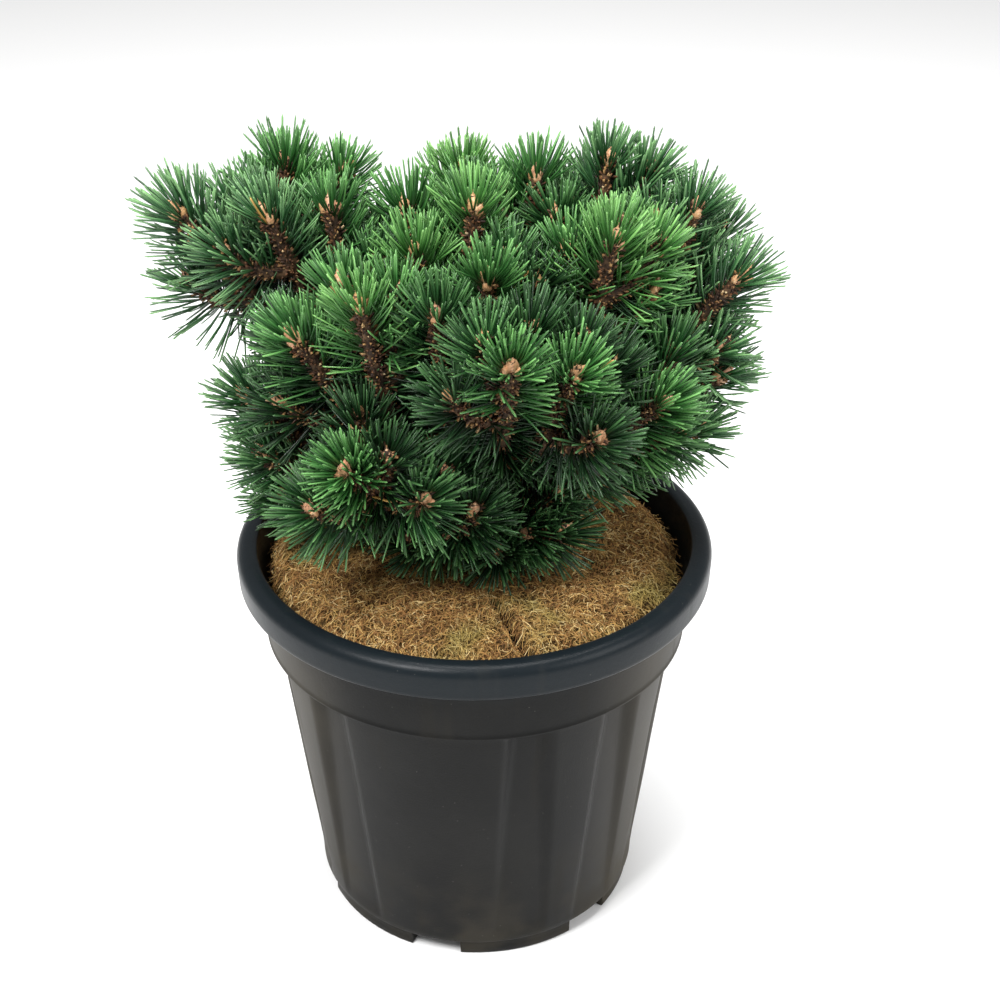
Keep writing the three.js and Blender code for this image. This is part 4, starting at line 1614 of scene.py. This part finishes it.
@dataclass
class Needles:
    """Every pair of needles of the crown, with the sheaths that hold them and the stubs of fallen ones."""

    crown: Crown
    length: float = 36
    width: float = 1.5
    thickness: float = 1.05
    splay: float = 70
    tip_splay: float = 27
    splay_power: float = 1.5
    scatter: float = 9
    parting: float = 10
    bend: float = 8
    bend_scatter: float = 9
    per_mm: float = 3.0
    crowding: float = 0.85
    turn_scatter: float = 0.12
    parting_scatter: float = 3
    root_depth: float = 0.7
    shorter_at_bud: float = 0.12
    count_spread: Span = (0.85, 1.15)
    shoot_spread: Span = (0.92, 1.06)
    pair_spread: Span = (0.86, 1.06)
    hand_spread: Span = (0.94, 1.04)
    width_spread: Span = (0.85, 1.1)
    old_per_mm: float = 3.0
    shoot_needles_from: float = 0.1
    bough_needles_from: float = 0.45
    rings: Tuple[float, ...] = (0.0, 0.5, 0.95)
    ring_widths: Tuple[float, ...] = (0.7, 1.0, 0.85)
    bud_part: float = 10
    tone_spread: float = 0.22
    fine_length: float = 0.92
    old_length: Span = (0.6, 0.9)
    fitted_lengths: Tuple[float, ...] = (0.5, 0.66, 0.82, 1.0)
    pot_margin: float = 1.5
    limb_reach: float = 90
    straw_share: float = 0.001
    shed_share: float = 0.97
    side_shed_share: float = 0.8
    fine_shed_share: float = 0.5
    shed_facing: Span = (0.1, 0.42)
    shed_rise: Span = (0.82, 0.97)
    thin_share: float = 0.12
    sheath_share: float = 0.2
    sheath_length: Span = (3.0, 5.0)
    sheath_half: Span = (0.75, 1.25)
    sheath_ends: Span = (1.1, 0.62)
    stub_length: Span = (2.8, 6.4)
    stub_splay: Span = (58, 12)
    stub_depth: float = 0.8
    stub_shares: Span = (0.04, 0.93)
    stubs_per_mm: float = 2.6

    def __post_init__(self) -> None:
        """Grows the needles of all shoots."""
        self.sheaves: Dict[Tint, List[Sheaf]] = {tint: [Sheaf()] for tint in Tint}
        self.masses: Dict[Tint, Set[str]] = {tint: set() for tint in Tint}
        self.sheaths = [Sheaf()]
        for shoot in self.crown.shoots:
            self.spray(shoot)
        for number, (name, limb) in enumerate(LIMBS.items()):
            if not limb.sessile:
                bough = Shoot(name, self.crown.boughs[name], 1, 1, Tint.SHADE)
                self.old(bough, self.bough_needles_from, np.random.default_rng(1500 + number))

    def clear_of_limbs(self, points: Points, shoot: Shoot) -> Points:
        """Tells which places keep out of the limbs.

        Args:
            points: Places, one a row.
            shoot: The shoot that the needles stand on.

        Returns:
            True for each place that does.
        """
        clear = np.ones(points.shape[:-1], dtype=bool)
        middle = shoot.points.mean(0)
        for name, line in self.crown.lines.items():
            if name != shoot.limb and line_distance(middle, line) < self.limb_reach:
                clear &= line_distance(points, line) > self.crown.keep_off(name)
        return clear

    def fallen(
        self, shoot: Shoot, root: Points, out: Points, rise: Points, draw: np.random.Generator
    ) -> Points:
        """Tells which pairs have fallen: older ones low on a shoot, most of them on its weathered side.

        Args:
            shoot: The shoot.
            root: Where the pairs stand.
            out: Away from the shoot.
            rise: How far up the needled part, from 0 to 1.
            draw: The shoot's own random numbers.

        Returns:
            True for each pair that has.
        """
        facing = (out * self.crown.weather(root)).sum(-1)
        weather = smooth(facing, *self.shed_facing) * (1 - smooth(rise, *self.shed_rise))
        share = self.shed_share if shoot.seed < len(LIMBS) else self.side_shed_share
        share = self.fine_shed_share if shoot.fine else share
        odds = share * weather + self.thin_share * (1 - rise)
        return draw.random(len(root)) < odds

    def spray(self, shoot: Shoot) -> None:
        """Grows the needles of one shoot, splayed at its foot and closing towards its bud.

        Args:
            shoot: The shoot.
        """
        draw = np.random.default_rng(700 + shoot.seed)
        bud_from = 1 - self.bud_part / shoot.curve.length
        span = (bud_from - shoot.bare) * shoot.curve.length
        pairs = int(span * self.per_mm * draw.uniform(*self.count_spread))
        rise = ((np.arange(pairs) + 0.5) / pairs) ** self.crowding
        share = shoot.bare + (bud_from - shoot.bare) * rise
        centre, along = shoot.curve.at(share), shoot.curve.heading(share)
        u, v = shoot.curve.axes(along)
        turn = shoot.seed + np.arange(pairs) * GOLDEN_TURN + draw.normal(0, self.turn_scatter, pairs)
        out = u * np.cos(turn)[:, None] + v * np.sin(turn)[:, None]
        side = np.cross(along, out)
        splay = self.splay + (self.tip_splay - self.splay) * rise**self.splay_power
        splay = np.radians(splay + draw.normal(0, self.scatter, pairs))[:, None]
        root = centre + out * (self.crown.core(shoot, share) * self.root_depth)[:, None]
        lean = along * np.cos(splay) + out * np.sin(splay)
        full = self.length * (self.fine_length if shoot.fine else 1) * draw.uniform(*self.shoot_spread)
        full = full * draw.uniform(*self.pair_spread, pairs)
        full = full * (1 - self.shorter_at_bud * smooth(rise, 0.8, 1))
        gone = self.fallen(shoot, root, out, rise, draw)
        self.sheath(root, lean, gone, draw)
        self.stubs(shoot, draw)
        self.old(shoot, self.shoot_needles_from, draw)
        for hand in (-1, 1):
            half = np.radians(self.parting / 2 + draw.normal(0, self.parting_scatter, pairs)) * hand
            aim = unit(lean + side * np.tan(half)[:, None])
            length = full * draw.uniform(*self.hand_spread, pairs)
            fitted = self.fitted(root, aim, length, shoot)
            shown = ~gone & (fitted > 0)
            straw = shown & (draw.random(pairs) < self.straw_share)
            tone = self.tones(pairs, draw)
            for tint, mask in ((shoot.tint, shown & ~straw), (Tint.STRAW, straw)):
                self.lay(tint, root[mask], aim[mask], out[mask], fitted[mask], tone[mask], draw)
                self.masses[tint].add(shoot.limb)

    def tones(self, count: int, draw: np.random.Generator) -> Points:
        """Draws the shades of so many needles, from 0 to 1."""
        return np.clip(draw.normal(0.5, self.tone_spread, count), 0, 1)

    def old(self, shoot: Shoot, low: float, draw: np.random.Generator) -> None:
        """Grows the old needles on a shoot's bare foot or a bough's end, short and in the darkest tint,
        which paints the crown's shade on them.

        Args:
            shoot: The shoot, or the bough as one that is bare all along.
            low: The share of the bare part where they start.
            draw: The shoot's own random numbers.
        """
        count = int((1 - low) * shoot.bare * shoot.curve.length * self.old_per_mm)
        share = shoot.bare * draw.uniform(low, 1.0, count)
        centre, along = shoot.curve.at(share), shoot.curve.heading(share)
        out = square_to(along, draw.normal(0, 1, (count, 3)))
        splay = np.radians(draw.normal(self.splay, self.scatter, count))[:, None]
        aim = along * np.cos(splay) + out * np.sin(splay)
        length = self.length * draw.uniform(*self.old_length, count)
        fitted = self.fitted(centre, aim, length, shoot)
        facing = (out * self.crown.weather(centre)).sum(-1)
        kept = (fitted > 0) & ((facing < self.crown.weather_side) | (shoot.bare == 1))
        tone = self.tones(count, draw)
        self.lay(Tint.SHADE, centre[kept], aim[kept], out[kept], fitted[kept], tone[kept], draw)
        self.masses[Tint.SHADE].add(shoot.limb)

    def fitted(self, root: Points, aim: Points, length: Points, shoot: Shoot) -> Points:
        """Shortens needles that would reach a limb, the pot or the soil.

        Args:
            root: Where they stand.
            aim: Which way they point.
            length: How long they would be.
            shoot: The shoot.

        Returns:
            How long they are, 0 where a needle has no room.
        """
        kept = np.zeros(len(root))
        parts = np.array([0.35, 0.7, 1.0])[:, None]
        for share in self.fitted_lengths:
            reach = root[:, None] + aim[:, None] * (length * share)[:, None, None] * parts
            fits = self.crown.over_pot(reach, self.pot_margin) & self.clear_of_limbs(reach, shoot)
            kept = np.where(fits.all(1), length * share, kept)
        return kept

    def stubs(self, shoot: Shoot, draw: np.random.Generator) -> None:
        """Roughens a shoot with the stubs of needles that fell long ago, from its foot to its bud.

        Args:
            shoot: The shoot.
            draw: The shoot's own random numbers.
        """
        count = int(shoot.curve.length * self.stubs_per_mm)
        share = draw.uniform(*self.stub_shares, count)
        centre, along = shoot.curve.at(share), shoot.curve.heading(share)
        out = square_to(along, draw.normal(0, 1, (count, 3)))
        splay = np.radians(draw.normal(*self.stub_splay, count))[:, None]
        lean = along * np.cos(splay) + out * np.sin(splay)
        root = centre + out * (self.crown.core(shoot, share) * self.stub_depth)[:, None]
        self.sheath(root, lean, np.ones(count, dtype=bool), draw)

    def sheath(self, root: Points, lean: Points, gone: Points, draw: np.random.Generator) -> None:
        """Adds the sheaths of some pairs of needles, and a short stub for each pair that fell.

        Args:
            root: Where the pairs stand.
            lean: Which way they point.
            gone: Which of them fell.
            draw: The shoot's own random numbers.
        """
        shown = gone | (draw.random(len(root)) < self.sheath_share)
        root, lean, gone = root[shown], lean[shown], gone[shown]
        count = len(root)
        stub, whole = draw.uniform(*self.stub_length, count), draw.uniform(*self.sheath_length, count)
        length = np.where(gone, stub, whole)[:, None]
        half = draw.uniform(*self.sheath_half, count)[:, None]
        side = unit(np.cross(lean, draw.normal(0, 1, (count, 3))))
        back = np.cross(lean, side) * half * 0.87
        corners = [side * half, -side * half * 0.5 + back, -side * half * 0.5 - back]
        low, high = self.sheath_ends
        rows = [root + c * low for c in corners] + [root + lean * length + c * high for c in corners]
        faces = repeated([[0, 1, 4, 3], [1, 2, 5, 4], [2, 0, 3, 5], [3, 4, 5, -1]], count, len(rows))
        tone = np.repeat(np.clip(draw.beta(0.8, 1.7, count), 0, 1), len(rows))
        sheaf = self.with_room(self.sheaths, faces)
        sheaf.add(np.stack(rows, axis=1), faces, tone=tone, along=np.tile([0, 0, 0, 1, 1, 1], count))

    @staticmethod
    def with_room(sheaves: List[Sheaf], faces: Points) -> Sheaf:
        """Finds the sheaf that more faces go into.

        Args:
            sheaves: The sheaves so far.
            faces: The faces.

        Returns:
            The last sheaf, or a new one where the last has no room.
        """
        if not sheaves[-1].has_room(faces):
            sheaves.append(Sheaf())
        return sheaves[-1]

    def lay(
        self,
        tint: Tint,
        root: Points,
        aim: Points,
        out: Points,
        length: Points,
        tone: Points,
        draw: np.random.Generator,
    ) -> None:
        """Adds needles of one tint: three-sided blades that bend a little and end in a short point.

        Args:
            tint: Which needles.
            root: Where they stand.
            aim: Which way they point.
            out: Away from the shoot.
            length: How long they are.
            tone: A number from 0 to 1 for each, for its shade.
            draw: The shoot's own random numbers.
        """
        count = len(root)
        if not count:
            return
        side = unit(np.cross(aim, out))
        back = np.cross(side, aim)
        half = self.width * draw.uniform(*self.width_spread, count)[:, None] / 2
        corners = [-side * half, side * half, back * half * (2 * self.thickness / self.width)]
        bend = np.radians(draw.normal(self.bend, self.bend_scatter, count))
        drop = np.tan(bend)[:, None] * length[:, None] / 2

        def middle(share: float) -> Points:
            """Finds the needles' middle lines at a share of them."""
            return root + aim * (length * share)[:, None] - back * drop * share**2

        rings = zip(self.rings, self.ring_widths)
        rows = [middle(share) + c * width for share, width in rings for c in corners] + [middle(1.0)]
        band = [[a + k, b + k, b + k + 3, a + k + 3] for k in (0, 3) for a, b in ((0, 1), (1, 2), (2, 0))]
        faces = repeated(band + [[6, 7, 9, -1], [7, 8, 9, -1], [8, 6, 9, -1]], count, len(rows))
        sheaf = self.with_room(self.sheaves[tint], faces)
        along = np.tile([*np.repeat(self.rings, 3), 1.0], count)
        sheaf.add(np.stack(rows, axis=1), faces, along=along, tone=np.repeat(tone, len(rows)))

    def dress(self) -> Iterator[bpy.types.Object]:
        """Makes the sheaths and each tint's needles and ties them to the frame.

        Yields:
            Each piece.
        """
        finish = SheathSkin().material()
        for number, sheaf in enumerate(self.sheaths, 1):
            yield tied(sheaf.build(f"needle_sheaths_{number}", finish), MASSES)
        for tint, sheaves in self.sheaves.items():
            finish = tint.value.material()
            masses = sorted(f"foliage_{name}" for name in self.masses[tint])
            for number, sheaf in enumerate(sheaves, 1):
                if sheaf.count:
                    piece = sheaf.build(f"needles_{tint.value.name}_{number}", finish)
                    yield tied(piece, masses)


# ---- Wood and buds -------------------------------------------------------------------------------


@dataclass
class Wood:
    """The bark of the trunk, the boughs and the shoots, and the shoots' buds."""

    crown: Crown
    flare_lobes: int = 5
    trunk_relief: Span = (1.1, 6.5)
    trunk_sides: int = 44
    trunk_rings: int = 90
    bough_relief: Span = (0.75, 4.2)
    bough_sides: int = 14
    bough_ring: float = 2.4
    twig_sides: int = 10
    twig_ring: float = 2.0
    twig_bulk: Span = (1.08, 0.55)
    scale_pitch: float = 5.1
    scale_lobes: int = 5
    bud_size: Span = (13.5, 3.9)
    bud_spread: Span = (0.9, 1.15)
    bud_sunk: float = 10
    bud_turns: float = 5
    bud_lobes: float = 3
    fine_bud: float = 0.78
    tip_taper: Span = (0.93, 0.55)
    small_buds: Tuple[float, ...] = (0.2, 0.25, 0.35, 0.2)
    small_bud_length: Span = (7.5, 10.5)
    small_bud_sunk: Span = (10.5, 12)
    small_bud_radius: float = 2.9
    small_bud_splay: float = 0.55
    small_bud_off: float = 2
    small_bud_turn: float = 2.2
    small_bud_stray: float = 0.3
    bud_sides: int = 9
    bud_rings: int = 12

    def dress(self) -> Iterator[bpy.types.Object]:
        """Makes the bark and the buds and ties them to the frame.

        Yields:
            Each piece.
        """
        yield tied(self.limbs(OldBark().material()), ["trunk", *BOUGHS])
        yield tied(self.twigs(ShootBark().material()), MASSES)
        yield tied(self.buds(BudScales().material()), MASSES)

    def trunk_radius(self, t: Points, angle: Points) -> Points:
        """Gives the trunk's radius: a lobed root flare that fades into an even taper.

        Args:
            t: Shares of its length.
            angle: Angles round it.

        Returns:
            The radii.
        """
        c = self.crown
        rise = np.maximum(0, t * (c.trunk_tip[2] - c.ground) - c.trunk_sunk)
        flare = np.maximum(0, 1 - rise / c.flare_height) ** 2
        lobes = 0.75 + 0.25 * np.cos(self.flare_lobes * angle)
        return c.bough_radius("trunk")(t) + (c.foot_radius - c.butt_radius) * flare * lobes

    @staticmethod
    def flaky(places: Points, centre: Points, depth: float, size: float, seed: int) -> Points:
        """Works the bark's relief into a limb's rings.

        Args:
            places: The rings, as rings by sides by 3.
            centre: The middle of each ring.
            depth: Height of the relief.
            size: Width of its plates.
            seed: Which pattern.

        Returns:
            The moved places.
        """
        flat = places.reshape(-1, 3)
        plates = grain(flat, size, seed)
        ridge = np.sign(plates) * np.abs(plates) ** 0.5
        relief = 0.65 * ridge + 0.5 * grain(flat, size * 0.4, seed + 1)
        return places + unit(places - centre[:, None]) * relief.reshape((*places.shape[:2], 1)) * depth

    def limbs(self, finish: bpy.types.Material) -> bpy.types.Object:
        """Makes the bark of the trunk and the boughs.

        Args:
            finish: Its material.

        Returns:
            The piece.
        """
        sheaf = Sheaf()
        trunk = self.crown.boughs["trunk"]
        shares = np.linspace(0, 1, self.trunk_rings)
        rings = tube(trunk, shares, self.trunk_sides, self.trunk_radius)
        rings = self.flaky(rings, trunk.at(shares), *self.trunk_relief, 11)
        rings[..., 2] = np.maximum(rings[..., 2], self.crown.ground - 0.4)
        sheaf.add_closed(rings, trunk.at(0.0), trunk.at(1.0))
        for order, (name, curve) in enumerate(self.crown.boughs.items()):
            if name == "trunk":
                continue
            shares = np.linspace(0, 1, max(8, int(curve.length / self.bough_ring)))
            radius = self.crown.bough_radius(name)
            rings = tube(curve, shares, self.bough_sides, lambda t, a: radius(t) + 0 * a)
            rings = self.flaky(rings, curve.at(shares), *self.bough_relief, 20 + order)
            sheaf.add_closed(rings, curve.at(0.0), curve.at(1.0))
        return sheaf.build("bark_limbs", finish)

    def twigs(self, finish: bpy.types.Material) -> bpy.types.Object:
        """Makes the scaly bark of every shoot.

        Args:
            finish: Its material.

        Returns:
            The piece.
        """
        sheaf = Sheaf()
        angle = circle(self.twig_sides)[None, :]
        slim, scaly = self.twig_bulk
        taper_from, taper = self.tip_taper
        for shoot in self.crown.shoots:
            curve = shoot.curve
            shares = np.linspace(0, 1, int(curve.length / self.twig_ring))
            climb = shares[:, None] * curve.length
            saw = np.mod(climb / self.scale_pitch + angle * 2 / math.pi + shoot.seed, 1.0)
            lobes = 0.5 + 0.5 * np.cos(self.scale_lobes * angle - climb * 0.9)
            scale = saw * (0.4 + 0.6 * lobes)
            width = self.crown.core(shoot, shares)[:, None] * (slim + scaly * scale)
            width = width * (1 - taper * smooth(shares, taper_from, 1.0))[:, None]
            rings = tube(curve, shares, self.twig_sides, lambda t, a: width)
            sheaf.add_closed(rings, curve.at(0.0), curve.at(1.0), edge=scale)
        return sheaf.build("shoot_twigs", finish)

    def buds(self, finish: bpy.types.Material) -> bpy.types.Object:
        """Makes the buds: one at each shoot's tip, with smaller ones beside some.

        Args:
            finish: Their material.

        Returns:
            The piece.
        """
        sheaf = Sheaf()
        for shoot in self.crown.shoots:
            draw = np.random.default_rng(300 + shoot.seed)
            axis = shoot.curve.heading(1.0)
            tip = shoot.points[-1]
            size = draw.uniform(*self.bud_spread) * (self.fine_bud if shoot.fine else 1)
            length, radius = self.bud_size
            self.bud(sheaf, tip - axis * self.bud_sunk * size, axis, length * size, radius * size, draw)
            u, v = sides_of(axis)
            for k in range(int(draw.choice(len(self.small_buds), p=self.small_buds))):
                stray = draw.uniform(-self.small_bud_stray, self.small_bud_stray)
                out = between(u, v, shoot.seed + k * self.small_bud_turn + stray)
                aim = unit(axis + self.small_bud_splay * out)
                root = tip - axis * draw.uniform(*self.small_bud_sunk) * size + out * self.small_bud_off
                length = draw.uniform(*self.small_bud_length) * size
                self.bud(sheaf, root, aim, length, self.small_bud_radius * size, draw)
        return sheaf.build("shoot_buds", finish)

    def bud(
        self,
        sheaf: Sheaf,
        root: Points,
        axis: Points,
        length: float,
        radius: float,
        draw: np.random.Generator,
    ) -> None:
        """Adds one pointed bud of overlapping scales.

        Args:
            sheaf: Where it goes.
            root: Its foot.
            axis: Which way it points.
            length: How long it is.
            radius: Its greatest radius.
            draw: The shoot's own random numbers.
        """
        t = np.linspace(0, 1, self.bud_rings)
        angle = circle(self.bud_sides)
        outline = np.sin(np.clip(t * 1.05 + 0.12, 0, 1) ** 0.72 * math.pi) ** 0.75
        outline = np.where(t > 0.85, outline * (1 - t) / 0.15 * 0.9 + 0.02, outline)
        climb = t[:, None] * self.bud_turns + angle[None, :] * self.bud_lobes / (2 * math.pi)
        saw = np.mod(climb + draw.random(), 1.0)
        width = radius * outline[:, None] * (0.84 + 0.3 * saw)
        places = tube(Curve(root, root + axis * length), t, self.bud_sides, lambda s, a: width)
        tone = np.full(width.shape, draw.random())
        sheaf.add_closed(places, root, root + axis * length, edge=saw, tone=tone)


# ---- Studio --------------------------------------------------------------------------------------


@dataclass(frozen=True)
class Lamp:
    """A soft square lamp: its place and side in metres, and its power in watts."""

    name: str
    place: Place
    side: float
    power: float

    def hang(self, aim: Place) -> None:
        """Hangs the lamp so that it faces a place.

        Args:
            aim: The place.
        """
        data = bpy.data.lights.new(self.name, "AREA")
        data.shape = "SQUARE"
        data.size = self.side
        data.energy = self.power
        lamp = bpy.data.objects.new(self.name, data)
        lamp.location = self.place
        lamp.rotation_euler = (Vector(aim) - Vector(self.place)).to_track_quat("-Z", "Y").to_euler()
        bpy.context.scene.collection.objects.link(lamp)


@dataclass
class Studio:
    """A plain pale floor, soft light and the camera. Places are in metres, the lens in millimetres."""

    eye: Place = (0.017, -1.001, 0.892)
    pitch: float = 59.4
    lens: float = 63.4
    sensor: float = 36
    floor_size: float = 12
    floor_tones: Tuple[Colour, Colour] = ((0.93, 0.93, 0.93), (0.96, 0.96, 0.955))
    glow: float = 0.45
    heart: Place = (0, 0, 0.38)
    lamps: Tuple[Lamp, ...] = (
        Lamp("key", (-1.0, -1.2, 2.4), 0.9, 78),
        Lamp("fill", (1.8, -1.0, 1.4), 1.3, 26),
        Lamp("top", (0.2, 0.2, 2.5), 1.2, 54),
    )

    def set_up(self) -> None:
        """Sets up the camera, the floor and the light."""
        self.camera()
        self.floor()
        self.light()

    def camera(self) -> None:
        """Sets up the camera."""
        data = bpy.data.cameras.new("camera")
        data.lens = self.lens
        data.sensor_width = self.sensor
        camera = bpy.data.objects.new("camera", data)
        camera.location = self.eye
        camera.rotation_euler = (math.radians(self.pitch), 0, 0)
        bpy.context.scene.collection.objects.link(camera)
        bpy.context.scene.camera = camera

    def floor(self) -> None:
        """Lays the floor."""
        half = self.floor_size / 2 / MM
        corners = np.array([[-half, -half, 0], [half, -half, 0], [half, half, 0], [-half, half, 0]])
        sheaf = Sheaf()
        sheaf.add(corners, np.array([[0, 1, 2, 3]]))
        g = Graph("pale_floor")
        tone = g.mix(g.noise(0.8, 2), *self.floor_tones)
        finish = g.finish(Base_Color=tone, Roughness=0.8, Specular_IOR_Level=0.1)
        sheaf.build("floor", finish, smoothed=False)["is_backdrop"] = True

    def light(self) -> None:
        """Hangs the lamps and sets the sky's even glow."""
        scene = bpy.context.scene
        scene.view_settings.view_transform = "Standard"
        world = bpy.data.worlds.new("studio")
        world.use_nodes = True
        sky = world.node_tree.nodes["Background"].inputs
        sky["Color"].default_value = (1, 1, 1, 1)
        sky["Strength"].default_value = self.glow
        scene.world = world
        for lamp in self.lamps:
            lamp.hang(self.heart)


# ---- The plant -----------------------------------------------------------------------------------


def main() -> None:
    """Sets up the studio, builds the pot and the plant in order and reports each piece."""
    logging.basicConfig(level=logging.INFO, format="%(name)s: %(message)s")
    Studio().set_up()
    crown = Crown()
    for part in (Pot(), RootBall(), Wood(crown), Needles(crown)):
        for piece in part.dress():
            triangles = sum(len(face.vertices) - 2 for face in piece.data.polygons)
            LOG.info("%-18s %8d triangles", piece.name, triangles)


def write_sizes() -> None:
    """Turns the frame's box and the dressed model's box into plain lists, which are then dropped.
    """
    boxes = {"cad": CAD_BOX, "visual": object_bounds()}
    {name: [list(corner) for corner in box] for name, box in boxes.items()}


if __name__ == "__main__":
    main()
    write_sizes()
